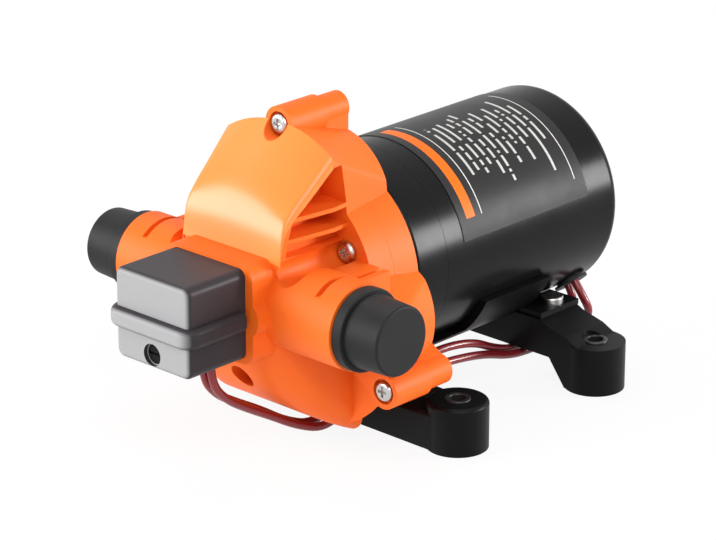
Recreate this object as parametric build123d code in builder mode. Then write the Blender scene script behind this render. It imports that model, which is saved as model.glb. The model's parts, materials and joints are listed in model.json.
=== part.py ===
from build123d import *
import math
import os

os.makedirs("parts", exist_ok=True)

# Caravan water pump. X is to its right, Y runs from its head to its motor, Z is up from the floor.
# The origin is on the floor, in the middle of the four foot holes.
# A station is a distance ahead of the seam between the motor's can and its bell.

axis_height = 54.4
seam_setback = 24.6
overrun = 5.0

# Clearances
seat_gap = 0.05
running_gap = 0.08
body_gap = 0.3

# Motor
motor_radius = 36.0
can_length = 88.8
can_wall = 2.0
can_rim_radius = 4.0
rear_hub_radius = 12.5
rear_hub_height = 2.5
bearing_tube_wall = 1.5
bell_length = 14.5
bell_wall = 3.0
bell_floor = 2.5
bell_edge_radius = 1.2
shaft_radius = 4.0
shaft_hole_gap = 0.6
rotor_end_gap = 1.0

# Ball bearings of the motor
bearing_radius = 11.0
bearing_width = 7.0
race_wall = 2.0
shield_inset = 0.4
shield_thickness = 0.3
ball_gap = 0.1
ball_count = 8

# Armature, magnets and brushes
core_radius = 26.5
core_length = 42.0
core_rear_station = -68.0
slot_count = 12
slot_radius = 3.0
slot_circle = 20.5
slot_mouth = 2.0
winding_end = 6.0
magnet_gap = 0.8
magnet_length = 52.0
magnet_half_angle = 58.0
commutator_radius = 9.0
commutator_length = 12.0
commutator_front_station = -2.2
commutator_slot = 0.6
brush_plate_thickness = 2.0
brush_plate_bore = 11.0
brush_width = 6.0
brush_length = 8.0
brush_station = -7.0
brush_holder_wall = 1.0
brush_holder_end = 26.5
bolt_circle = 29.5
bolt_radius = 2.0
bolt_head_radius = 2.6
bolt_head_height = 2.0
bolt_grip = 6.0

# Wrap label on the can
label_thickness = 0.25
label_front = 8.5
label_rear = 72.0
label_start_angle = 13.0

# Housings of the head: three lobes, one up and two down
lobe_angles = (90.0, 210.0, 330.0)
flank_angles = (30.0, 150.0, 270.0)
parting_station = 25.5
ring_station = 36.0
brow_station = 42.4
lobe_root = 8.0
lobe_rear_half = 23.0
lobe_rear_shoulder_half = 21.5
lobe_rear_shoulder = 32.0
lobe_rear_top = 46.3
lobe_rear_fillet = 7.0
lobe_front_half = 25.0
lobe_front_shoulder_half = 24.2
lobe_front_shoulder = 46.9
lobe_front_top = 54.5
lobe_front_fillet = 3.5
lug_circle = 53.3
lug_rear_radius = 5.0
lug_front_radius = 6.0
lug_web_half = 4.5
lobe_front_station = 40.5

# Hood over the ports, on the upper lobe: one row for each section behind its face, brow first
hood_sections = (
    # station, half width, root, half width of the shoulders, shoulders, top, corner radius
    (42.4, 25.0, 8.0, 24.2, 46.9, 54.5, 3.5),
    (52.5, 23.5, 8.0, 23.1, 38.3, 42.6, 3.0),
    (59.6, 22.4, 8.0, 22.3, 32.0, 34.2, 2.2),
    (63.0, 22.0, 8.0, 22.0, 27.0, 27.8, 1.6),
    (64.9, 22.0, 8.0, 22.0, 16.3, 16.6, 1.2),
)
hood_half = 22.0
hood_end_station = 64.9
hood_hollows = (
    # low, high, front at the low edge, front at the high edge, rear at the high edge, depth from the middle
    (18.2, 22.6, 62.2, 61.3, 36.0, 18.6),
    (24.0, 29.4, 60.9, 59.2, 36.0, 14.0),
    (30.8, 44.0, 57.8, 42.4, 38.0, 12.0),
)

# Port boss, across the head
port_station = 55.8
port_rise = 0.2
port_boss_radius = 14.5
port_boss_half = 48.7
boss_block_half = 43.0
boss_block_top = 12.3
boss_block_low = -13.3
boss_groove_inner = 38.5
boss_groove_width = 2.0
boss_groove_depth = 1.6
port_bore_radius = 6.5
spigot_radius = 10.4
spigot_core_radius = 9.6
spigot_length = 14.6
thread_pitch = 2.6
thread_count = 4

# Bowl, under the port boss: stations, half widths, depths and corner radii, front last
bowl_root_station = 36.0
bowl_root_half = 31.0
bowl_root_depth = 47.6
bowl_root_corner = 6.0
bowl_waist_station = 50.0
bowl_waist_half = 29.0
bowl_waist_depth = 40.0
bowl_waist_corner = 11.0
bowl_chin_station = 60.0
bowl_chin_half = 24.0
bowl_chin_depth = 29.5
bowl_chin_corner = 12.0
bowl_tip_station = 66.0
bowl_tip_half = 18.0
bowl_tip_depth = 15.5
bowl_tip_corner = 7.0

# Block that carries the switch
block_half = 20.0
block_low = -16.0
block_top = 17.5
block_corner = 5.0
block_rear_station = 52.0
block_station = 75.0
cheek_half = 22.5
cheek_height = 13.0

# Screws of the head
screw_head_radius = 3.5
screw_head_height = 2.4
screw_radius = 2.0
screw_pocket_gap = 0.8
corner_seat_station = 40.5
side_circle = 29.0
side_seat_station = 36.0
screw_end_station = 17.0
phillips_width = 1.0
phillips_reach = 3.6
phillips_depth = 1.1

# Wobble drive
tilt_angle = 3.0
wobble_station = 17.0
wobble_bearing_bore = 7.5
wobble_bearing_radius = 14.0
wobble_bearing_width = 7.0
bush_flange_radius = 9.0
bush_flange_thickness = 0.6
wobble_hub_radius = 17.0
wobble_plate_thickness = 4.0
chamber_circle = 20.0
arm_radius = 8.5
pad_radius = 7.5
pad_rise = 8.05
piston_gap = 2.1
piston_thickness = 2.2
piston_screw_radius = 1.2
piston_screw_head_radius = 2.4
piston_screw_head_height = 1.2
piston_screw_depth = 5.0
cavity_radius = 19.0
cavity_lobe_radius = 11.5
cavity_front_station = 22.0
cavity_rear_station = 12.0
pad_hole_radius = 8.6
web_relief = 1.8
shaft_front_station = 21.0

# Diaphragm and valves
diaphragm_thickness = 1.2
diaphragm_radius = 14.0
diaphragm_centre_radius = 13.0
diaphragm_disc_radius = 8.2
diaphragm_screw_hole = 2.1
chamber_radius = 12.6
valve_plate_thickness = 3.0
valve_plate_station = 32.5
inlet_hole_radius = 1.0
inlet_hole_circle = 3.0
inlet_flap_radius = 5.0
outlet_hole_radius = 1.1
outlet_hole_circle = 8.8
outlet_flap_radius = 10.2
flap_thickness = 0.8
valve_stem_radius = 1.2
valve_bead_radius = 1.7
valve_bead_length = 1.2
seal_inner_radius = 11.3
seal_outer_radius = 12.8
seal_height = 1.4
plenum_wall_radius = 10.6
inlet_plenum_inner = 13.5
inlet_plenum_outer = 24.2
inlet_plenum_station = 44.0
outlet_bore_radius = 8.0
outlet_bore_station = 62.0
inlet_passage_radius = 4.0
inlet_passage_right = -18.5

# Pressure switch
switch_half = 16.8
switch_low = -14.4
switch_top = 16.5
switch_corner = 3.0
switch_station = 100.2
switch_wall = 1.8
switch_base_thickness = 2.0
rib_half = 19.3
rib_station = 102.8
rib_low = -3.6
rib_top = 3.3
rib_corner = 5.5
rib_round = 2.3
adjuster_drop = 9.7
adjuster_radius = 3.3
adjuster_hole_radius = 3.8
adjuster_boss_radius = 4.6
adjuster_rear_station = 90.1
adjuster_front_station = 98.7
adjuster_slot = 0.9
switch_diaphragm_radius = 5.0
switch_channel_radius = 1.5
switch_channel_rise = 3.2
plunger_radius = 2.2
plunger_flange_radius = 2.9
plunger_flange_station = 77.6
plunger_flange_thickness = 1.4
plunger_tail_radius = 1.1
plunger_tail_length = 3.0
plunger_arm_half = 2.0
plunger_arm_top = 3.0
plunger_travel = 1.0
spring_radius = 2.7
spring_bore = 1.6
microswitch_half = 9.5
microswitch_low = -1.0
microswitch_top = 9.0
microswitch_station = 82.0
microswitch_length = 8.0
button_half = 1.5
button_low = 0.3
button_top = 2.7
button_length = 4.0
post_radius = 1.5
post_right = 7.0
post_rise = 5.5
switch_screw_radius = 1.2
switch_screw_head_radius = 2.2
switch_screw_length = 9.0
switch_screw_right = 12.5
switch_screw_rise = 11.5

# Transport caps on the ports
cap_flange_radius = 13.8
cap_flange_inner = 49.0
cap_flange_outer = 52.9
cap_root_radius = 12.3
cap_end_radius = 11.6
cap_end = 66.4
cap_floor = 2.0
cap_edge_radius = 0.9

# Base
foot_right = 50.0
foot_back = 35.25
foot_radius = 10.5
foot_height = 16.8
foot_edge_radius = 1.4
sleeve_radius = 4.4
sleeve_bore = 2.75
sleeve_proud = 0.4
sleeve_lift = 0.5
bar_half_depth = 10.2
bar_lift = 0.7
front_bar_top = 13.4
rear_bar_underside = 10.0
arch_half = 38.0
arch_foot = 45.0
rear_bar_end_height = 19.2
rear_bar_shoulder = 36.0
rear_bar_shoulder_height = 21.4
rear_bar_top = 22.6
bar_edge_radius = 1.6
cradle_gap = 0.1
cradle_thickness = 2.8
cradle_wing_angle = 27.0
cradle_strip_angle = 54.0
cradle_front = 20.0
cradle_rear = 53.0
strip_front = -13.5
tongue_front = -20.5
tongue_half = 12.5
tongue_length = 20.0
ear_inner = 19.0
ear_outer = 33.5
ear_rear = 68.0
ear_thickness = 2.0
base_screw_right = 29.0
base_screw_back = 61.5
base_screw_head_radius = 4.0
base_screw_head_height = 2.6
base_screw_radius = 2.2
base_screw_length = 9.0
rivet_radius = 2.0
rivet_head_radius = 3.2
rivet_head_height = 1.0
rivet_front = 28.0
rivet_rear = 44.0

# Wires and their grommets
wire_radius = 1.45
wire_arc_share = 0.45
can_grommet_angle = -50.0
can_grommet_back = 78.0
grommet_radius = 5.0
grommet_flange_radius = 6.2
grommet_flange = 1.4
grommet_depth = 2.2
wire_spacing = 3.6
switch_exit_station = 82.0
switch_exit_right = 5.7


def across(station, right=0.0, rise=0.0, turn=0.0):
    """A plane square to the motor axis, which faces the front of the pump."""
    lean = math.radians(turn)
    return Plane(
        origin=(right, -seam_setback - station, axis_height + rise),
        x_dir=(math.cos(lean), 0, math.sin(lean)),
        z_dir=(0, -1, 0),
    )


def upright(right=0.0):
    """An upright plane along the motor axis: stations run along it, heights up it, and it faces left."""
    return Plane(
        origin=(right, -seam_setback, axis_height),
        x_dir=(0, -1, 0),
        z_dir=(-1, 0, 0),
    )


def tilted(rise):
    """A plane square to the inclined axis of the wobble plate, at a distance ahead of its centre."""
    lean = math.radians(tilt_angle)
    back = -math.cos(lean)
    up = math.sin(lean)
    return Plane(
        origin=(0, -seam_setback - wobble_station + rise * back, axis_height + rise * up),
        x_dir=(1, 0, 0),
        z_dir=(0, back, up),
    )


def arched_profile(station, turn, half, root, shoulder_half, shoulder, top, corner):
    """Section of a lobe or of the hood: two sides, an arched top and a flat root."""
    with BuildSketch(across(station, turn=turn)) as profile:
        with BuildLine():
            Line((-half, root), (-shoulder_half, shoulder))
            ThreePointArc((-shoulder_half, shoulder), (0, top), (shoulder_half, shoulder))
            Line((shoulder_half, shoulder), (half, root))
            Line((half, root), (-half, root))
        make_face()
        fillet(profile.vertices().group_by(Axis.Y)[-1], corner)
    return profile.sketch


def lobe_profile(station, angle):
    """Section of one lobe, which flares from its rear to its front."""
    flare = (station - bell_length) / (brow_station - bell_length)
    half = lobe_rear_half + flare * (lobe_front_half - lobe_rear_half)
    shoulder_half = (
        lobe_rear_shoulder_half + flare * (lobe_front_shoulder_half - lobe_rear_shoulder_half)
    )
    shoulder = lobe_rear_shoulder + flare * (lobe_front_shoulder - lobe_rear_shoulder)
    top = lobe_rear_top + flare * (lobe_front_top - lobe_rear_top)
    corner = lobe_rear_fillet + flare * (lobe_front_fillet - lobe_rear_fillet)
    return arched_profile(station, angle - 90, half, lobe_root, shoulder_half, shoulder, top, corner)


def drive_cavity(station):
    """Outline of the space in which the wobble plate moves."""
    with BuildSketch(across(station)) as outline:
        Circle(cavity_radius)
        with PolarLocations(chamber_circle, 3, start_angle=90):
            Circle(cavity_lobe_radius)
    return outline.sketch


def chamber_outline(station, growth=0.0):
    """Outline of the diaphragm and of the valve plate above it."""
    with BuildSketch(across(station)) as outline:
        Circle(diaphragm_centre_radius + growth)
        with PolarLocations(chamber_circle, 3, start_angle=90):
            Circle(diaphragm_radius + growth)
    return outline.sketch


def bearing_parts(station_plane, bore, radius, width):
    """Outer race with its shields and balls, and inner race, of a ball bearing."""
    middle = (bore + radius) / 2
    ball = (radius - bore) / 2 - race_wall - ball_gap
    with BuildPart() as outer:
        with BuildSketch(station_plane(0.0)):
            Circle(radius)
            Circle(radius - race_wall, mode=Mode.SUBTRACT)
        extrude(amount=width)
        for start in (shield_inset, width - shield_inset - shield_thickness):
            with BuildSketch(station_plane(start)):
                Circle(radius - race_wall)
                Circle(bore + race_wall + body_gap, mode=Mode.SUBTRACT)
            extrude(amount=shield_thickness)
        middle_plane = station_plane(width / 2)
        for index in range(ball_count):
            turn = 2 * math.pi * index / ball_count
            place = middle_plane.from_local_coords((middle * math.cos(turn), middle * math.sin(turn), 0))
            with Locations(place):
                Sphere(ball)
    with BuildPart() as inner:
        with BuildSketch(station_plane(0.0)):
            Circle(bore + race_wall)
            Circle(bore, mode=Mode.SUBTRACT)
        extrude(amount=width)
    return outer.part, inner.part


def pan_screws(seats, length):
    """Pan head screws with a cross recess; each seat is a plane that faces out of the head."""
    with BuildPart() as screws:
        for seat in seats:
            with BuildSketch(seat):
                Circle(screw_head_radius)
            extrude(amount=screw_head_height)
        fillet(
            screws.edges().filter_by(lambda edge: edge.geom_type == GeomType.CIRCLE).group_by(Axis.Y)[0],
            screw_head_height / 2,
        )
        for seat in seats:
            with BuildSketch(seat.offset(screw_head_height - phillips_depth)):
                Rectangle(phillips_width, phillips_reach)
                Rectangle(phillips_reach, phillips_width)
            extrude(amount=phillips_depth + overrun, mode=Mode.SUBTRACT)
            with BuildSketch(seat):
                Circle(screw_radius)
            extrude(amount=-length)
    return screws.part


# Motor can, closed at the rear, with a hub for the rear bearing
rear_station = -can_length
hub_station = rear_station - rear_hub_height
rear_bearing_station = hub_station + can_wall / 2
grommet_lean = math.radians(can_grommet_angle)
grommet_out = (math.cos(grommet_lean), 0, math.sin(grommet_lean))
grommet_plane = Plane(
    origin=(
        motor_radius * math.cos(grommet_lean),
        -seam_setback + can_grommet_back,
        axis_height + motor_radius * math.sin(grommet_lean),
    ),
    x_dir=(-math.sin(grommet_lean), 0, math.cos(grommet_lean)),
    z_dir=grommet_out,
)

with BuildPart() as motor_can:
    with BuildSketch(across(rear_station)):
        Circle(motor_radius)
    extrude(amount=can_length)
    fillet(motor_can.edges().filter_by(GeomType.CIRCLE).sort_by(Axis.Y)[-1], can_rim_radius)
    with BuildSketch(across(hub_station)):
        Circle(rear_hub_radius)
    extrude(amount=rear_hub_height)
    fillet(motor_can.edges().filter_by(GeomType.CIRCLE).sort_by(Axis.Y)[-1], rear_hub_height / 3)
    with BuildSketch(across(rear_station + can_wall)):
        Circle(motor_radius - can_wall)
    extrude(amount=can_length, mode=Mode.SUBTRACT)
    with BuildSketch(across(rear_bearing_station)):
        Circle(bearing_radius + bearing_tube_wall)
    extrude(amount=bearing_width)
    with BuildSketch(across(rear_bearing_station)):
        Circle(bearing_radius + seat_gap)
    extrude(amount=bearing_width, mode=Mode.SUBTRACT)
    with BuildSketch(across(rear_station)):
        with PolarLocations(bolt_circle, 2):
            Circle(bolt_radius + seat_gap)
    extrude(amount=can_wall + overrun, mode=Mode.SUBTRACT)
    with BuildSketch(grommet_plane):
        Circle(grommet_radius)
    extrude(amount=-can_wall * 2, mode=Mode.SUBTRACT)
motor_can.part.label = "motor_can"

# Motor bell, with the front bearing and a recess for the wobble plate
front_bearing_station = cavity_rear_station - can_wall / 2 - bearing_width
with BuildPart() as motor_bell:
    with BuildSketch(across(0)):
        Circle(motor_radius)
    extrude(amount=bell_length)
    fillet(motor_bell.edges().filter_by(GeomType.CIRCLE).sort_by(Axis.Y)[0], bell_edge_radius)
    with BuildSketch(across(0)):
        Circle(motor_radius - bell_wall)
    extrude(amount=cavity_rear_station - bell_floor, mode=Mode.SUBTRACT)
    with BuildSketch(across(front_bearing_station)):
        Circle(bearing_radius + bell_floor)
    extrude(amount=bearing_width)
    with BuildSketch(across(front_bearing_station - seat_gap)):
        Circle(bearing_radius + seat_gap)
    extrude(amount=bearing_width + seat_gap, mode=Mode.SUBTRACT)
    with BuildSketch(across(front_bearing_station)):
        Circle(shaft_radius + shaft_hole_gap)
    extrude(amount=bell_length, mode=Mode.SUBTRACT)
    extrude(drive_cavity(cavity_rear_station), amount=bell_length, mode=Mode.SUBTRACT)
    with BuildSketch(across(0)):
        with PolarLocations(bolt_circle, 2):
            Circle(bolt_radius + seat_gap)
    extrude(amount=bell_length, mode=Mode.SUBTRACT)
motor_bell.part.label = "motor_bell"

# Charcoal wrap label
label_start = math.radians(label_start_angle)
with BuildPart() as motor_label:
    with BuildSketch(across(-label_rear)):
        Circle(motor_radius + label_thickness)
        Circle(motor_radius, mode=Mode.SUBTRACT)
        with Locations((0, -motor_radius + motor_radius * math.sin(label_start))):
            Rectangle(2 * motor_radius + overrun, 2 * motor_radius, mode=Mode.SUBTRACT)
    extrude(amount=label_rear - label_front)
motor_label.part.label = "motor_label"

# Bearings of the motor and of the wobble plate
front_outer, front_inner = bearing_parts(
    lambda rise: across(front_bearing_station + rise), shaft_radius + seat_gap, bearing_radius, bearing_width
)
rear_outer, rear_inner = bearing_parts(
    lambda rise: across(rear_bearing_station + rise), shaft_radius + seat_gap, bearing_radius, bearing_width
)
wobble_outer, wobble_inner = bearing_parts(
    lambda rise: tilted(rise - wobble_bearing_width / 2),
    wobble_bearing_bore + seat_gap,
    wobble_bearing_radius,
    wobble_bearing_width,
)
front_outer.label = "front_bearing_outer"
front_inner.label = "front_bearing_inner"
rear_outer.label = "rear_bearing_outer"
rear_inner.label = "rear_bearing_inner"
wobble_outer.label = "wobble_bearing_outer"
wobble_inner.label = "wobble_bearing_inner"

# Shaft
shaft_rear_station = rear_bearing_station + rotor_end_gap
with BuildPart() as shaft:
    with BuildSketch(across(shaft_rear_station)):
        Circle(shaft_radius)
    extrude(amount=shaft_front_station - shaft_rear_station)
    chamfer(shaft.edges().filter_by(GeomType.CIRCLE), shaft_radius / 8)
shaft.part.label = "shaft"

# Armature core with round slots, and the copper in and beyond them
with BuildPart() as armature_core:
    with BuildSketch(across(core_rear_station)):
        Circle(core_radius)
        Circle(shaft_radius + seat_gap, mode=Mode.SUBTRACT)
        with PolarLocations(slot_circle, slot_count):
            Circle(slot_radius, mode=Mode.SUBTRACT)
        with PolarLocations((slot_circle + core_radius) / 2, slot_count):
            Rectangle(core_radius - slot_circle + overrun, slot_mouth, mode=Mode.SUBTRACT)
    extrude(amount=core_length)
armature_core.part.label = "armature_core"

winding_wire_radius = slot_radius - seat_gap
with BuildPart() as armature_windings:
    with BuildSketch(across(core_rear_station - winding_end)):
        with PolarLocations(slot_circle, slot_count):
            Circle(winding_wire_radius)
    extrude(amount=core_length + 2 * winding_end)
    for start in (core_rear_station - winding_end, core_rear_station + core_length + seat_gap):
        with BuildSketch(across(start)):
            Circle(slot_circle + winding_wire_radius / 2)
            Circle(shaft_radius + slot_radius, mode=Mode.SUBTRACT)
        extrude(amount=winding_end - seat_gap)
armature_windings.part.label = "armature_windings"

with BuildPart() as commutator:
    with BuildSketch(across(commutator_front_station - commutator_length)):
        Circle(commutator_radius)
        Circle(shaft_radius + seat_gap, mode=Mode.SUBTRACT)
        with PolarLocations(commutator_radius, slot_count):
            Rectangle(commutator_radius / 4, commutator_slot, mode=Mode.SUBTRACT)
    extrude(amount=commutator_length)
commutator.part.label = "commutator"

# Magnets: two arcs against the wall of the can
magnet_radius = motor_radius - can_wall - seat_gap
magnet_bore = core_radius + magnet_gap
magnet_rear_station = core_rear_station - (magnet_length - core_length) / 2
magnet_reach = 2 * motor_radius
magnet_lean = math.radians(90 - magnet_half_angle)
with BuildPart() as magnets:
    with BuildSketch(across(magnet_rear_station)):
        Circle(magnet_radius)
        Circle(magnet_bore, mode=Mode.SUBTRACT)
        for way in (1, -1):
            with BuildLine():
                Polyline(
                    (0, 0),
                    (way * magnet_reach * math.cos(magnet_lean), magnet_reach * math.sin(magnet_lean)),
                    (way * magnet_reach * math.cos(magnet_lean), -magnet_reach * math.sin(magnet_lean)),
                    close=True,
                )
            make_face(mode=Mode.SUBTRACT)
    extrude(amount=magnet_length)
magnets.part.label = "magnets"

# Brush plate, holders, carbon brushes and the springs behind them
holder_half = brush_width / 2 + brush_holder_wall
holder_inner = brush_plate_bore + brush_holder_wall
with BuildPart() as brush_plate:
    with BuildSketch(across(-brush_plate_thickness)):
        Circle(motor_radius - can_wall - seat_gap)
        Circle(brush_plate_bore, mode=Mode.SUBTRACT)
        with PolarLocations(bolt_circle, 2):
            Circle(bolt_radius + seat_gap, mode=Mode.SUBTRACT)
    extrude(amount=brush_plate_thickness)
brush_plate.part.label = "brush_plate"

with BuildPart() as brush_holders:
    for way in (1, -1):
        with BuildSketch(across(brush_station - holder_half)):
            with Locations((way * (holder_inner + brush_holder_end) / 2, 0)):
                Rectangle(brush_holder_end - holder_inner, 2 * holder_half)
        extrude(amount=-brush_plate_thickness - brush_station + holder_half)
        with BuildSketch(across(brush_station - brush_width / 2)):
            with Locations((way * (holder_inner + brush_holder_end) / 2 - way * brush_holder_wall, 0)):
                Rectangle(brush_holder_end - holder_inner, brush_width)
        extrude(amount=brush_width, mode=Mode.SUBTRACT)
brush_holders.part.label = "brush_holders"

brush_end = commutator_radius + ball_gap + brush_length
with BuildPart() as brushes:
    for way in (1, -1):
        with BuildSketch(across(brush_station - brush_width / 2 + seat_gap)):
            with Locations((way * (brush_end - brush_length / 2), 0)):
                Rectangle(brush_length, brush_width - 2 * seat_gap)
        extrude(amount=brush_width - 2 * seat_gap)
brushes.part.label = "brushes"

brush_spring_end = brush_holder_end - brush_holder_wall - seat_gap
with BuildPart() as brush_springs:
    for way in (1, -1):
        with BuildSketch(Plane.YZ.offset(way * (brush_end + seat_gap))):
            with Locations((-seam_setback - brush_station, axis_height)):
                Circle(brush_width / 3)
                Circle(brush_width / 6, mode=Mode.SUBTRACT)
        extrude(amount=way * (brush_spring_end - brush_end - seat_gap))
brush_springs.part.label = "brush_springs"

# Long bolts from the rear of the motor to the lower housing
bolt_end_station = bell_length + bolt_grip
with BuildPart() as motor_bolts:
    with BuildSketch(across(rear_station - seat_gap)):
        with PolarLocations(bolt_circle, 2):
            Circle(bolt_head_radius)
    extrude(amount=-bolt_head_height)
    fillet(
        motor_bolts.edges().filter_by(GeomType.CIRCLE).group_by(Axis.Y)[-1], bolt_head_height / 3
    )
    with BuildSketch(across(rear_station - bolt_head_height / 2)):
        with PolarLocations(bolt_circle, 2):
            Circle(bolt_radius)
    extrude(amount=bolt_end_station - rear_station + bolt_head_height / 2)
motor_bolts.part.label = "motor_bolts"

# Lower housing: a ring with three lobes and three lugs, open to the motor
with BuildPart() as lower_housing:
    with BuildSketch(across(bell_length)):
        Circle(motor_radius)
    extrude(amount=parting_station - bell_length)
    for angle in lobe_angles:
        loft([lobe_profile(bell_length, angle), lobe_profile(parting_station, angle)])
    with BuildSketch(across(bell_length)):
        with PolarLocations(lug_circle, 3, start_angle=90):
            Circle(lug_rear_radius)
        with PolarLocations(lug_circle - lug_rear_radius, 3, start_angle=90):
            Rectangle(2 * lug_rear_radius, 2 * lug_web_half)
    extrude(amount=parting_station - bell_length)
    extrude(
        drive_cavity(bell_length), amount=cavity_front_station - bell_length, mode=Mode.SUBTRACT
    )
    with BuildSketch(across(cavity_front_station)):
        with PolarLocations(chamber_circle, 3, start_angle=90):
            Circle(pad_hole_radius)
    extrude(amount=bell_length, mode=Mode.SUBTRACT)
    with BuildSketch(across(parting_station - web_relief)):
        with PolarLocations(chamber_circle, 3, start_angle=90):
            Circle(chamber_radius)
    extrude(amount=bell_length, mode=Mode.SUBTRACT)
    with BuildSketch(across(screw_end_station)):
        with PolarLocations(lug_circle, 3, start_angle=90):
            Circle(screw_radius + seat_gap)
        with PolarLocations(side_circle, 3, start_angle=30):
            Circle(screw_radius + seat_gap)
    extrude(amount=bell_length, mode=Mode.SUBTRACT)
    with BuildSketch(across(bell_length)):
        with PolarLocations(bolt_circle, 2):
            Circle(bolt_radius + seat_gap)
    extrude(amount=bolt_grip, mode=Mode.SUBTRACT)
lower_housing.part.label = "lower_housing"

def bowl_profile(station, half, depth, corner):
    """Section of the bowl: a rounded rectangle that hangs from the middle of the head."""
    with BuildSketch(across(station)) as profile:
        with BuildLine():
            Line((-half, 0), (-half, corner - depth))
            RadiusArc((-half, corner - depth), (corner - half, -depth), -corner)
            Line((corner - half, -depth), (half - corner, -depth))
            RadiusArc((half - corner, -depth), (half, corner - depth), -corner)
            Line((half, corner - depth), (half, 0))
            Line((half, 0), (-half, 0))
        make_face()
    return profile.sketch


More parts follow.
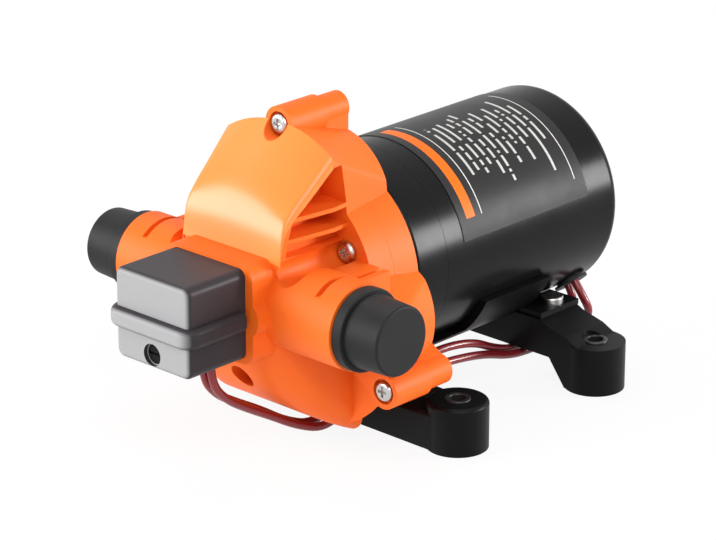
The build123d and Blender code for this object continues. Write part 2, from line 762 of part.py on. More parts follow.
# Upper housing: the ring, its lobes, the hood, the port boss, the bowl and the switch block
valve_front_station = valve_plate_station + valve_plate_thickness
plenum_start_station = valve_front_station + seat_gap
switch_seat_station = block_station - diaphragm_thickness - seat_gap
with BuildPart() as upper_housing:
    with BuildSketch(across(parting_station)):
        Circle(motor_radius)
    extrude(amount=ring_station - parting_station)
    for angle in lobe_angles:
        loft([lobe_profile(parting_station, angle), lobe_profile(lobe_front_station, angle)])
    with BuildSketch(across(parting_station)):
        with PolarLocations(lug_circle, 3, start_angle=90):
            Circle(lug_front_radius)
        with PolarLocations(lug_circle - lug_front_radius, 3, start_angle=90):
            Rectangle(2 * lug_front_radius, 2 * lug_web_half)
    extrude(amount=brow_station - parting_station)
    # hood
    hood_back = lobe_profile(lobe_front_station, lobe_angles[0])
    loft([hood_back, lobe_profile(brow_station, lobe_angles[0])], ruled=True)
    hood_profiles = [arched_profile(station, 0, *sizes) for station, *sizes in hood_sections]
    loft(hood_profiles, ruled=True)
    # three hollows in each side of the hood, with two thin fins left between them
    for way in (1, -1):
        for low, high, front_low, front_high, rear_high, inner in hood_hollows:
            with BuildSketch(upright(way * inner)):
                with BuildLine():
                    Polyline(
                        (side_seat_station, low),
                        (rear_high, high),
                        (front_high, high),
                        (front_low, low),
                        close=True,
                    )
                make_face()
            extrude(amount=-way * (hood_half - inner + overrun), mode=Mode.SUBTRACT)

    # port boss, with a groove along each end of its flat top
    with BuildSketch(upright()):
        with Locations(((side_seat_station + port_station) / 2, (boss_block_low + boss_block_top) / 2)):
            Rectangle(port_station - side_seat_station, boss_block_top - boss_block_low)
    extrude(amount=boss_block_half, both=True)
    with BuildSketch(upright()):
        with Locations((port_station, port_rise)):
            Circle(port_boss_radius)
    extrude(amount=port_boss_half, both=True)
    # bowl
    loft(
        [
            bowl_profile(bowl_root_station, bowl_root_half, bowl_root_depth, bowl_root_corner),
            bowl_profile(bowl_waist_station, bowl_waist_half, bowl_waist_depth, bowl_waist_corner),
            bowl_profile(bowl_chin_station, bowl_chin_half, bowl_chin_depth, bowl_chin_corner),
            bowl_profile(bowl_tip_station, bowl_tip_half, bowl_tip_depth, bowl_tip_corner),
        ]
    )
    # switch block with its round cheeks
    with BuildSketch(across(block_rear_station, rise=(block_low + block_top) / 2)):
        RectangleRounded(2 * block_half, block_top - block_low, block_corner)
    extrude(amount=block_station - block_rear_station)
    with BuildSketch(across(block_rear_station, rise=(rib_low + rib_top) / 2)):
        SlotOverall(2 * cheek_half, cheek_height)
    extrude(amount=block_station - block_rear_station)
    # threaded spigots
    for way in (1, -1):
        with BuildSketch(Plane.YZ.offset(way * (port_boss_half - overrun))):
            with Locations((-seam_setback - port_station, axis_height + port_rise)):
                Circle(spigot_core_radius)
        extrude(amount=way * (spigot_length + overrun))
        for turn in range(thread_count):
            start = port_boss_half + spigot_length - thread_pitch * (turn + 1)
            with BuildSketch(Plane.YZ.offset(way * start)):
                with Locations((-seam_setback - port_station, axis_height + port_rise)):
                    Circle(spigot_radius)
            extrude(amount=way * thread_pitch / 2)
    # grooves across the ends of the boss block
    for way in (1, -1):
        with BuildSketch(across(side_seat_station, rise=boss_block_top - boss_groove_depth)):
            with Locations((way * (boss_groove_inner + boss_groove_width / 2), port_boss_radius / 2)):
                Rectangle(boss_groove_width, port_boss_radius)
        extrude(amount=hood_end_station, mode=Mode.SUBTRACT)
    # seats of the screws
    with BuildSketch(across(corner_seat_station)):
        with PolarLocations(lug_circle, 3, start_angle=90):
            Circle(screw_head_radius + screw_pocket_gap)
    extrude(amount=hood_end_station, mode=Mode.SUBTRACT)
    with BuildSketch(across(side_seat_station)):
        with PolarLocations(side_circle, 3, start_angle=30):
            Circle(screw_head_radius + screw_pocket_gap)
    extrude(amount=hood_end_station, mode=Mode.SUBTRACT)
    with BuildSketch(across(parting_station)):
        with PolarLocations(lug_circle, 3, start_angle=90):
            Circle(screw_radius + seat_gap)
        with PolarLocations(side_circle, 3, start_angle=30):
            Circle(screw_radius + seat_gap)
    extrude(amount=block_station, mode=Mode.SUBTRACT)
    # water ways
    extrude(
        chamber_outline(parting_station, seat_gap),
        amount=plenum_start_station - parting_station,
        mode=Mode.SUBTRACT,
    )
    with BuildSketch(across(plenum_start_station)):
        Circle(inlet_plenum_outer)
        Circle(inlet_plenum_inner, mode=Mode.SUBTRACT)
    extrude(amount=inlet_plenum_station - plenum_start_station, mode=Mode.SUBTRACT)
    with BuildSketch(across(plenum_start_station)):
        Circle(seal_outer_radius + seat_gap)
        Circle(seal_inner_radius - seat_gap, mode=Mode.SUBTRACT)
    extrude(amount=seal_height, mode=Mode.SUBTRACT)
    with BuildSketch(across(plenum_start_station)):
        Circle(plenum_wall_radius)
    extrude(amount=valve_bead_length * 3, mode=Mode.SUBTRACT)
    with BuildSketch(across(plenum_start_station)):
        Circle(outlet_bore_radius)
    extrude(amount=outlet_bore_station - plenum_start_station, mode=Mode.SUBTRACT)
    with BuildSketch(Plane.YZ):
        with Locations((-seam_setback - port_station, axis_height + port_rise)):
            Circle(port_bore_radius)
    extrude(amount=port_boss_half + spigot_length + overrun, mode=Mode.SUBTRACT)
    with BuildSketch(Plane.YZ.offset(inlet_passage_right + inlet_passage_radius)):
        with Locations((-seam_setback - port_station, axis_height + port_rise)):
            Circle(port_bore_radius)
    extrude(amount=-port_boss_half - spigot_length - overrun, mode=Mode.SUBTRACT)
    with BuildSketch(across(plenum_start_station, inlet_passage_right, port_rise)):
        Circle(inlet_passage_radius)
    extrude(amount=port_station - plenum_start_station, mode=Mode.SUBTRACT)
    # pressure channel and seat of the switch diaphragm
    with BuildSketch(across(outlet_bore_station - overrun, rise=switch_channel_rise - adjuster_drop)):
        Circle(switch_channel_radius)
    extrude(amount=block_station, mode=Mode.SUBTRACT)
    with BuildSketch(across(switch_seat_station, rise=-adjuster_drop)):
        Circle(switch_diaphragm_radius + seat_gap)
    extrude(amount=block_station, mode=Mode.SUBTRACT)
    with BuildSketch(across(block_station - switch_screw_length, rise=switch_screw_rise)):
        with Locations((switch_screw_right, 0), (-switch_screw_right, 0)):
            Circle(switch_screw_radius + seat_gap)
    extrude(amount=block_station, mode=Mode.SUBTRACT)
upper_housing.part.label = "upper_housing"

# Screws of the head
corner_seats = []
for angle in lobe_angles:
    lean = math.radians(angle)
    corner_seats.append(
        across(corner_seat_station + seat_gap, lug_circle * math.cos(lean), lug_circle * math.sin(lean))
    )
corner_screws = pan_screws(corner_seats, corner_seat_station - screw_end_station)
corner_screws.label = "corner_screws"
side_seats = []
for angle in flank_angles:
    lean = math.radians(angle)
    side_seats.append(
        across(side_seat_station + seat_gap, side_circle * math.cos(lean), side_circle * math.sin(lean))
    )
side_screws = pan_screws(side_seats, side_seat_station - screw_end_station)
side_screws.label = "side_screws"

# Inclined bush on the shaft
with BuildPart() as eccentric_bush:
    with BuildSketch(tilted(-wobble_bearing_width / 2)):
        Circle(wobble_bearing_bore)
    extrude(amount=wobble_bearing_width)
    with BuildSketch(tilted(-wobble_bearing_width / 2 - bush_flange_thickness)):
        Circle(bush_flange_radius)
    extrude(amount=bush_flange_thickness)
    with BuildSketch(across(cavity_rear_station - overrun)):
        Circle(shaft_radius + seat_gap)
    extrude(amount=cavity_front_station, mode=Mode.SUBTRACT)
eccentric_bush.part.label = "eccentric_bush"

# Wobble plate, with three arms and pads
with BuildPart() as wobble_plate:
    with BuildSketch(tilted(-wobble_plate_thickness / 2)):
        Circle(wobble_hub_radius)
        with PolarLocations(chamber_circle, 3, start_angle=90):
            Circle(arm_radius)
    extrude(amount=wobble_plate_thickness)
    with BuildSketch(tilted(-wobble_bearing_width / 2)):
        Circle(wobble_hub_radius)
    extrude(amount=wobble_bearing_width)
    with BuildSketch(tilted(0)):
        with PolarLocations(chamber_circle, 3, start_angle=90):
            Circle(pad_radius)
    extrude(amount=pad_rise)
    with BuildSketch(tilted(-wobble_bearing_width)):
        Circle(wobble_bearing_radius + seat_gap)
    extrude(amount=3 * wobble_bearing_width, mode=Mode.SUBTRACT)
    with BuildSketch(tilted(pad_rise)):
        with PolarLocations(chamber_circle, 3, start_angle=90):
            Circle(piston_screw_radius + seat_gap)
    extrude(amount=-piston_screw_depth - seat_gap, mode=Mode.SUBTRACT)
wobble_plate.part.label = "wobble_plate"

# Pistons on the front of the diaphragm, with their countersunk screws
piston_rise = pad_rise + piston_gap
piston_top = piston_rise + piston_thickness
with BuildPart() as pistons:
    with BuildSketch(tilted(piston_rise)):
        with PolarLocations(chamber_circle, 3, start_angle=90):
            Circle(pad_radius)
            Circle(piston_screw_radius + seat_gap, mode=Mode.SUBTRACT)
    extrude(amount=piston_thickness)
    with BuildSketch(tilted(piston_top - piston_screw_head_height - seat_gap)):
        with PolarLocations(chamber_circle, 3, start_angle=90):
            Circle(piston_screw_head_radius + seat_gap)
    extrude(amount=piston_thickness, mode=Mode.SUBTRACT)
pistons.part.label = "pistons"

with BuildPart() as piston_screws:
    with BuildSketch(tilted(piston_top - piston_screw_head_height)):
        with PolarLocations(chamber_circle, 3, start_angle=90):
            Circle(piston_screw_head_radius)
    extrude(amount=piston_screw_head_height)
    with BuildSketch(tilted(piston_top - piston_screw_head_height)):
        with PolarLocations(chamber_circle, 3, start_angle=90):
            Circle(piston_screw_radius)
    extrude(amount=-(piston_top - piston_screw_head_height - pad_rise) - piston_screw_depth)
piston_screws.part.label = "piston_screws"

# Diaphragm: a flat flange, and in each chamber a sloping web and a disc between pad and piston
pad_station = wobble_station + pad_rise + piston_gap / 2
flange_middle = parting_station + diaphragm_thickness / 2
with BuildPart() as diaphragm:
    extrude(chamber_outline(parting_station), amount=diaphragm_thickness)
    with BuildSketch(across(parting_station)):
        with PolarLocations(chamber_circle, 3, start_angle=90):
            Circle(chamber_radius - seat_gap)
    extrude(amount=diaphragm_thickness, mode=Mode.SUBTRACT)
    for angle in lobe_angles:
        lean = math.radians(angle)
        centre = (chamber_circle * math.cos(lean), axis_height + chamber_circle * math.sin(lean))
        lift = pad_station - chamber_circle * math.sin(lean) * math.sin(math.radians(tilt_angle))
        lift = lift - flange_middle
        half = diaphragm_thickness / 2
        section = Plane(
            origin=(centre[0], -seam_setback - flange_middle, centre[1]),
            x_dir=(1, 0, 0),
            z_dir=(0, 0, 1),
        )
        with BuildSketch(section):
            with BuildLine():
                Polyline(
                    (diaphragm_screw_hole, -lift + half),
                    (diaphragm_disc_radius, -lift + half),
                    (chamber_radius, half),
                    (chamber_radius, -half),
                    (diaphragm_disc_radius, -lift - half),
                    (diaphragm_screw_hole, -lift - half),
                    close=True,
                )
            make_face()
        revolve(axis=Axis((centre[0], 0, centre[1]), (0, -1, 0)))
diaphragm.part.label = "diaphragm"

# Valve plate with its chamber rings, and the flaps in it
ring_rear_station = parting_station + diaphragm_thickness + seat_gap
with BuildPart() as valve_plate:
    extrude(chamber_outline(ring_rear_station), amount=valve_front_station - ring_rear_station)
    with BuildSketch(across(ring_rear_station)):
        with PolarLocations(chamber_circle, 3, start_angle=90):
            Circle(chamber_radius)
    extrude(amount=valve_plate_station - ring_rear_station, mode=Mode.SUBTRACT)
    with BuildSketch(across(ring_rear_station)):
        Circle(valve_stem_radius + seat_gap)
        with PolarLocations(chamber_circle, 3, start_angle=90):
            Circle(valve_stem_radius + seat_gap)
        for reach in (chamber_circle - inlet_hole_circle, chamber_circle + inlet_hole_circle):
            with PolarLocations(reach, 3, start_angle=90):
                Circle(inlet_hole_radius)
        with PolarLocations(outlet_hole_circle, 3, start_angle=90):
            Circle(outlet_hole_radius)
    extrude(amount=valve_front_station, mode=Mode.SUBTRACT)
valve_plate.part.label = "valve_plate"

with BuildPart() as inlet_valves:
    with BuildSketch(across(valve_plate_station - seat_gap)):
        with PolarLocations(chamber_circle, 3, start_angle=90):
            Circle(inlet_flap_radius)
    extrude(amount=-flap_thickness)
    with BuildSketch(across(valve_plate_station - flap_thickness)):
        with PolarLocations(chamber_circle, 3, start_angle=90):
            Circle(valve_stem_radius)
    extrude(amount=valve_plate_thickness + flap_thickness + valve_bead_length)
    with BuildSketch(across(valve_front_station + seat_gap)):
        with PolarLocations(chamber_circle, 3, start_angle=90):
            Circle(valve_bead_radius)
    extrude(amount=valve_bead_length)
inlet_valves.part.label = "inlet_valves"

with BuildPart() as outlet_valve:
    with BuildSketch(across(valve_front_station + seat_gap)):
        Circle(outlet_flap_radius)
    extrude(amount=flap_thickness)
    with BuildSketch(across(valve_plate_station - valve_bead_length)):
        Circle(valve_stem_radius)
    extrude(amount=valve_plate_thickness + valve_bead_length + flap_thickness)
outlet_valve.part.label = "outlet_valve"

with BuildPart() as valve_seal:
    with BuildSketch(across(valve_front_station)):
        Circle(seal_outer_radius)
        Circle(seal_inner_radius, mode=Mode.SUBTRACT)
    extrude(amount=seal_height)
valve_seal.part.label = "valve_seal"

# Pressure switch: the base plate closes the block and carries two posts for the microswitch
switch_rise = (switch_low + switch_top) / 2
switch_height = switch_top - switch_low
base_front_station = block_station + switch_base_thickness
with BuildPart() as switch_base:
    with BuildSketch(across(block_station, rise=switch_rise)):
        RectangleRounded(2 * switch_half, switch_height, switch_corner)
    extrude(amount=switch_base_thickness)
    with BuildSketch(across(block_station, rise=post_rise)):
        with Locations((post_right, 0), (-post_right, 0)):
            Circle(post_radius)
    extrude(amount=microswitch_station + microswitch_length - block_station)
    with BuildSketch(across(base_front_station, rise=post_rise)):
        with Locations((post_right, 0), (-post_right, 0)):
            Circle(post_radius * 2)
    extrude(amount=microswitch_station - base_front_station - seat_gap)
    with BuildSketch(across(block_station, rise=-adjuster_drop)):
        Circle(plunger_radius + body_gap)
    extrude(amount=switch_base_thickness, mode=Mode.SUBTRACT)
    with BuildSketch(across(block_station, rise=switch_screw_rise)):
        with Locations((switch_screw_right, 0), (-switch_screw_right, 0)):
            Circle(switch_screw_radius + seat_gap)
    extrude(amount=switch_base_thickness, mode=Mode.SUBTRACT)
switch_base.part.label = "switch_base"

with BuildPart() as switch_screws:
    with BuildSketch(across(base_front_station + seat_gap, rise=switch_screw_rise)):
        with Locations((switch_screw_right, 0), (-switch_screw_right, 0)):
            Circle(switch_screw_head_radius)
    extrude(amount=switch_screw_head_radius / 2)
    with BuildSketch(across(base_front_station + seat_gap, rise=switch_screw_rise)):
        with Locations((switch_screw_right, 0), (-switch_screw_right, 0)):
            Circle(switch_screw_radius)
    extrude(amount=-switch_screw_length)
switch_screws.part.label = "switch_screws"

with BuildPart() as switch_diaphragm:
    with BuildSketch(across(switch_seat_station, rise=-adjuster_drop)):
        Circle(switch_diaphragm_radius)
    extrude(amount=diaphragm_thickness)
switch_diaphragm.part.label = "switch_diaphragm"

# Housing of the switch, a box with a round rib along its front and sides
exit_plane = Plane(
    origin=(switch_exit_right, -seam_setback - switch_exit_station, axis_height + switch_low),
    x_dir=(1, 0, 0),
    z_dir=(0, 0, -1),
)
with BuildPart() as switch_housing:
    with BuildSketch(across(base_front_station, rise=switch_rise)):
        RectangleRounded(2 * switch_half, switch_height, switch_corner)
    extrude(amount=switch_station - base_front_station)
    fillet(switch_housing.faces().sort_by(Axis.Y)[0].edges(), switch_corner * 2 / 3)
    with BuildPart(mode=Mode.PRIVATE) as rib:
        with BuildSketch(Plane.XY.offset(axis_height + rib_low)):
            with Locations((0, -seam_setback - (base_front_station + rib_station) / 2)):
                Rectangle(2 * rib_half, rib_station - base_front_station)
        extrude(amount=rib_top - rib_low)
        fillet(rib.edges().filter_by(Axis.Z).group_by(Axis.Y)[0], rib_corner)
        rim = rib.edges().filter_by(lambda edge: edge.center().Y < -seam_setback - base_front_station - overrun / 5)
        fillet(rim.filter_by(lambda edge: abs(edge.tangent_at(0).Z) < overrun / 50), rib_round)
    add(rib.part)
    with BuildSketch(across(base_front_station, rise=switch_rise)):
        RectangleRounded(
            2 * (switch_half - switch_wall), switch_height - 2 * switch_wall, switch_corner - switch_wall
        )
    extrude(amount=switch_station - switch_wall - base_front_station, mode=Mode.SUBTRACT)
    with BuildSketch(across(adjuster_rear_station, rise=-adjuster_drop)):
        Circle(adjuster_boss_radius)
    extrude(amount=switch_station - switch_wall - adjuster_rear_station)
    with BuildSketch(across(adjuster_rear_station, rise=-adjuster_drop)):
        Circle(adjuster_radius + running_gap)
    extrude(amount=switch_station, mode=Mode.SUBTRACT)
    with BuildSketch(across(adjuster_front_station, rise=-adjuster_drop)):
        Circle(adjuster_hole_radius)
    extrude(amount=switch_station, mode=Mode.SUBTRACT)
    with BuildSketch(exit_plane):
        Circle(wire_spacing)
    extrude(amount=-2 * switch_wall, mode=Mode.SUBTRACT)
switch_housing.part.label = "switch_housing"

# Plunger with a spring seat and an arm that reaches the button
flange_front_station = plunger_flange_station + plunger_flange_thickness
with BuildPart() as switch_plunger:
    with BuildSketch(across(block_station + body_gap, rise=-adjuster_drop)):
        Circle(plunger_radius)
    extrude(amount=plunger_flange_station - block_station - body_gap)
    with BuildSketch(across(plunger_flange_station, rise=-adjuster_drop)):
        Circle(plunger_flange_radius)
    extrude(amount=plunger_flange_thickness)
    with BuildSketch(across(plunger_flange_station, rise=(plunger_arm_top - adjuster_drop) / 2)):
        Rectangle(2 * plunger_arm_half, plunger_arm_top + adjuster_drop)
    extrude(amount=plunger_flange_thickness)
    with BuildSketch(across(flange_front_station, rise=-adjuster_drop)):
        Circle(plunger_tail_radius)
    extrude(amount=plunger_tail_length)
switch_plunger.part.label = "switch_plunger"

with BuildPart() as switch_spring:
    with BuildSketch(across(flange_front_station + seat_gap, rise=-adjuster_drop)):
        Circle(spring_radius)
        Circle(spring_bore, mode=Mode.SUBTRACT)
    extrude(amount=adjuster_rear_station - flange_front_station - 2 * seat_gap)
switch_spring.part.label = "switch_spring"

with BuildPart() as adjusting_screw:
    with BuildSketch(across(adjuster_rear_station, rise=-adjuster_drop)):
        Circle(adjuster_radius)
    extrude(amount=adjuster_front_station - adjuster_rear_station)
    with BuildSketch(across(adjuster_front_station - adjuster_slot, rise=-adjuster_drop)):
        Rectangle(2 * adjuster_radius, adjuster_slot)
    extrude(amount=adjuster_slot, mode=Mode.SUBTRACT)
adjusting_screw.part.label = "adjusting_screw"

# Microswitch and its button
microswitch_rise = (microswitch_low + microswitch_top) / 2
button_rise = (button_low + button_top) / 2
button_start = flange_front_station + body_gap
with BuildPart() as microswitch:
    with BuildSketch(across(microswitch_station, rise=microswitch_rise)):
        Rectangle(2 * microswitch_half, microswitch_top - microswitch_low)
        with Locations((post_right, post_rise - microswitch_rise), (-post_right, post_rise - microswitch_rise)):
            Circle(post_radius + seat_gap, mode=Mode.SUBTRACT)
    extrude(amount=microswitch_length)
    with BuildSketch(across(microswitch_station, rise=button_rise)):
        Rectangle(2 * (button_half + running_gap), button_top - button_low + 2 * running_gap)
    extrude(amount=button_start + button_length + plunger_travel + body_gap - microswitch_station,
            mode=Mode.SUBTRACT)
microswitch.part.label = "microswitch"

with BuildPart() as microswitch_button:
    with BuildSketch(across(button_start, rise=button_rise)):
        Rectangle(2 * button_half, button_top - button_low)
    extrude(amount=button_length)
microswitch_button.part.label = "microswitch_button"


# Transport caps on the spigots
def transport_cap(way):
    section = Plane(
        origin=(0, -seam_setback - port_station, axis_height + port_rise),
        x_dir=(way, 0, 0),
        z_dir=(0, -1, 0),
    )
    bore = spigot_radius + body_gap
    with BuildPart() as cap:
        with BuildSketch(section):
            with BuildLine():
                Polyline(
                    (cap_flange_inner, bore),
                    (cap_flange_inner, cap_flange_radius),
                    (cap_flange_outer, cap_flange_radius),
                    (cap_flange_outer, cap_root_radius),
                    (cap_end, cap_end_radius),
                    (cap_end, 0),
                    (cap_end - cap_floor, 0),
                    (cap_end - cap_floor, bore),
                    close=True,
                )
            make_face()
        revolve(axis=Axis(section.origin, (1, 0, 0)))
        rounds = cap.edges().filter_by(GeomType.CIRCLE)
        fillet(rounds.filter_by(lambda edge: abs(edge.radius - cap_end_radius) < seat_gap), cap_edge_radius)
        rounds = cap.edges().filter_by(GeomType.CIRCLE)
        fillet(rounds.filter_by(lambda edge: edge.radius > cap_flange_radius - seat_gap), cap_edge_radius / 2)
    return cap.part


outlet_cap = transport_cap(1)
outlet_cap.label = "outlet_cap"
inlet_cap = transport_cap(-1)
inlet_cap.label = "inlet_cap"

# Cradle: a strip under the motor, wings up its sides, a tongue in front and two ears behind
cradle_bore = motor_radius + cradle_gap
cradle_radius = cradle_bore + cradle_thickness
wing = math.radians(cradle_wing_angle)
strip = math.radians(cradle_strip_angle)
with BuildPart() as cradle:
    with BuildSketch(across(-cradle_rear)):
        Circle(cradle_radius)
        with Locations((0, motor_radius - cradle_bore * math.sin(wing))):
            Rectangle(3 * motor_radius, 2 * motor_radius, mode=Mode.SUBTRACT)
    extrude(amount=cradle_rear - cradle_front)
    with BuildSketch(across(-cradle_rear)):
        Circle(cradle_radius)
        with Locations((0, motor_radius - cradle_bore * math.sin(strip))):
            Rectangle(3 * motor_radius, 2 * motor_radius, mode=Mode.SUBTRACT)
    extrude(amount=cradle_rear - strip_front)
    with BuildSketch(Plane.XY.offset(front_bar_top)):
        with Locations((0, -seam_setback + tongue_front + tongue_length / 2)):
            Rectangle(2 * tongue_half, tongue_length)
    extrude(amount=axis_height - front_bar_top - motor_radius)
    for way in (1, -1):
        with BuildSketch(Plane.XY.offset(rear_bar_top)):
            with Locations((way * (ear_inner + ear_outer) / 2, -seam_setback + (cradle_rear + ear_rear) / 2)):
                Rectangle(ear_outer - ear_inner, ear_rear - cradle_rear + overrun)
        extrude(amount=ear_thickness)
    with BuildSketch(across(-ear_rear - overrun)):
        Circle(cradle_bore)
    extrude(amount=ear_rear + bell_length + 3 * overrun, mode=Mode.SUBTRACT)
    with BuildSketch(Plane.XY):
        with Locations((base_screw_right, -seam_setback + base_screw_back),
                       (-base_screw_right, -seam_setback + base_screw_back)):
            Circle(base_screw_radius + seat_gap)
    extrude(amount=axis_height, mode=Mode.SUBTRACT)
    with BuildSketch(Plane.XY):
        with Locations((0, -seam_setback + rivet_front), (0, -seam_setback + rivet_rear)):
            Circle(rivet_radius + seat_gap)
    extrude(amount=axis_height, mode=Mode.SUBTRACT)
cradle.part.label = "cradle"

# Rivets that hold the cradle to the can
with BuildPart() as cradle_rivets:
    with BuildSketch(Plane.XY.offset(axis_height - cradle_radius - seat_gap)):
        with Locations((0, -seam_setback + rivet_front), (0, -seam_setback + rivet_rear)):
            Circle(rivet_head_radius)
    extrude(amount=-rivet_head_height)
    with BuildSketch(Plane.XY.offset(axis_height - cradle_radius - seat_gap)):
        with Locations((0, -seam_setback + rivet_front), (0, -seam_setback + rivet_rear)):
            Circle(rivet_radius)
    extrude(amount=cradle_thickness)
cradle_rivets.part.label = "cradle_rivets"

# Bars with their feet
foot_places = {}
for name, way in (("front_foot_bar", -1), ("rear_foot_bar", 1)):
    foot_places[name] = [(foot_right, way * foot_back), (-foot_right, way * foot_back)]

with BuildPart() as front_foot_bar:
    with BuildSketch(Plane.XY.offset(bar_lift)):
        with Locations((0, -foot_back)):
            Rectangle(2 * foot_right, 2 * bar_half_depth)
    extrude(amount=front_bar_top - bar_lift)
    with BuildSketch(Plane.XY):
        with Locations(foot_places["front_foot_bar"]):
            Circle(foot_radius)
    extrude(amount=foot_height)
    tops = front_foot_bar.edges().filter_by(GeomType.CIRCLE).group_by(Axis.Z)[-1]
    fillet(tops, foot_edge_radius)
    long_edges = front_foot_bar.edges().filter_by(Axis.X).group_by(Axis.Z)[-1]
    fillet(long_edges, bar_edge_radius)
    with BuildSketch(Plane.XY):
        with Locations(foot_places["front_foot_bar"]):
            Circle(sleeve_radius)
    extrude(amount=foot_height, mode=Mode.SUBTRACT)
front_foot_bar.part.label = "front_foot_bar"

with BuildPart() as rear_foot_bar:
    with BuildSketch(Plane.XZ.offset(-foot_back)):
        with BuildLine():
            Polyline(
                (-foot_right, bar_lift),
                (-arch_foot, bar_lift),
                (-arch_half, rear_bar_underside),
                (arch_half, rear_bar_underside),
                (arch_foot, bar_lift),
                (foot_right, bar_lift),
                (foot_right, foot_height),
                (arch_foot, rear_bar_end_height),
                (rear_bar_shoulder, rear_bar_shoulder_height),
                (ear_outer, rear_bar_top),
                (-ear_outer, rear_bar_top),
                (-rear_bar_shoulder, rear_bar_shoulder_height),
                (-arch_foot, rear_bar_end_height),
                (-foot_right, foot_height),
                close=True,
            )
        make_face()
    extrude(amount=bar_half_depth, both=True)
    with BuildSketch(Plane.XY):
        with Locations(foot_places["rear_foot_bar"]):
            Circle(foot_radius)
    extrude(amount=foot_height)
    with BuildSketch(Plane.XY):
        with Locations(foot_places["rear_foot_bar"]):
            Circle(sleeve_radius)
    extrude(amount=axis_height, mode=Mode.SUBTRACT)
    with BuildSketch(across(-2 * can_length)):
        Circle(cradle_radius + seat_gap)
    extrude(amount=3 * can_length, mode=Mode.SUBTRACT)
    with BuildSketch(Plane.XY.offset(rear_bar_top - base_screw_length)):
        with Locations((base_screw_right, -seam_setback + base_screw_back),
                       (-base_screw_right, -seam_setback + base_screw_back)):
            Circle(base_screw_radius + seat_gap)
    extrude(amount=axis_height, mode=Mode.SUBTRACT)
rear_foot_bar.part.label = "rear_foot_bar"

with BuildPart() as foot_sleeves:
    with BuildSketch(Plane.XY.offset(sleeve_lift)):
        with GridLocations(2 * foot_right, 2 * foot_back, 2, 2):
            Circle(sleeve_radius)
            Circle(sleeve_bore, mode=Mode.SUBTRACT)
    extrude(amount=foot_height + sleeve_proud - sleeve_lift)
foot_sleeves.part.label = "foot_sleeves"

# Screws that hold the ears of the cradle to the rear bar
with BuildPart() as base_screws:
    with BuildSketch(Plane.XY.offset(rear_bar_top + ear_thickness + seat_gap)):
        with Locations((base_screw_right, -seam_setback + base_screw_back),
                       (-base_screw_right, -seam_setback + base_screw_back)):
            Circle(base_screw_head_radius)
    extrude(amount=base_screw_head_height)
    fillet(base_screws.edges().group_by(Axis.Z)[-1], base_screw_head_height / 4)
    with BuildSketch(Plane.XY.offset(rear_bar_top + ear_thickness + seat_gap)):
        with Locations((base_screw_right, -seam_setback + base_screw_back),
                       (-base_screw_right, -seam_setback + base_screw_back)):
            Circle(base_screw_radius)
    extrude(amount=-base_screw_length)
base_screws.part.label = "base_screws"

# Grommets of the wires
with BuildPart() as can_grommet:
    with BuildSketch(grommet_plane.offset(-grommet_depth)):
        Circle(grommet_radius - seat_gap)
    extrude(amount=grommet_depth + grommet_flange)
    with BuildSketch(grommet_plane.offset(grommet_flange / 3)):
        Circle(grommet_flange_radius)
    extrude(amount=grommet_flange * 2 / 3)
    with BuildSketch(grommet_plane.offset(-grommet_depth)):
        with Locations((wire_spacing / 2, 0), (-wire_spacing / 2, 0)):
            Circle(wire_radius + seat_gap)
    extrude(amount=2 * overrun, mode=Mode.SUBTRACT)
can_grommet.part.label = "can_grommet"

with BuildPart() as switch_grommet:
    with BuildSketch(exit_plane.offset(-switch_wall)):
        Circle(wire_spacing - seat_gap)
    extrude(amount=switch_wall + grommet_flange)
    with BuildSketch(exit_plane.offset(seat_gap)):
        Circle(grommet_radius)
    extrude(amount=grommet_flange)
    with BuildSketch(exit_plane.offset(-switch_wall)):
        with Locations((wire_spacing / 2, 0), (-wire_spacing / 2, 0)):
            Circle(wire_radius + seat_gap)
    extrude(amount=2 * overrun, mode=Mode.SUBTRACT)
switch_grommet.part.label = "switch_grommet"


# Wires from the switch, over the front bar, under the arch of the rear bar and into the can
# Points are places to the right, ahead of or behind the seam along Y, and up from the motor axis.
wire_a_points = [
    (3.9, -82.0, -13.2),
    (3.9, -82.0, -22.0),
    (3.0, -75.5, -29.8),
    (2.4, -66.0, -35.6),
    (3.0, -55.5, -41.4),
    (4.8, -45.5, -48.0),
    (8.0, -36.0, -51.1),
    (12.0, -27.8, -44.6),
    (15.0, -19.8, -38.6),
    (16.4, -8.0, -38.9),
    (18.4, 4.0, -37.4),
    (19.8, 17.0, -35.9),
    (20.3, 31.0, -38.2),
    (19.8, 41.5, -43.6),
    (18.8, 52.0, -47.3),
    (17.8, 63.0, -47.3),
    (17.8, 73.5, -46.0),
    (21.0, 80.0, -41.2),
    (25.94, 78.0, -33.71),
    (20.8, 78.0, -27.58),
]
wire_b_points = [
    (7.5, -82.0, -13.2),
    (7.5, -82.0, -22.6),
    (7.0, -75.0, -30.6),
    (6.8, -65.5, -36.6),
    (7.8, -55.0, -42.4),
    (10.2, -45.5, -48.0),
    (13.5, -36.0, -51.1),
    (17.2, -29.0, -44.6),
    (19.2, -21.2, -38.4),
    (20.2, -7.0, -39.3),
    (20.6, 6.0, -40.4),
    (21.0, 20.0, -41.2),
    (21.4, 35.0, -43.4),
    (22.8, 46.5, -47.0),
    (23.2, 58.0, -47.9),
    (22.4, 69.0, -47.6),
    (24.4, 79.5, -45.2),
    (30.4, 81.5, -39.6),
    (29.34, 78.0, -32.17),
    (23.55, 78.0, -25.27),
]


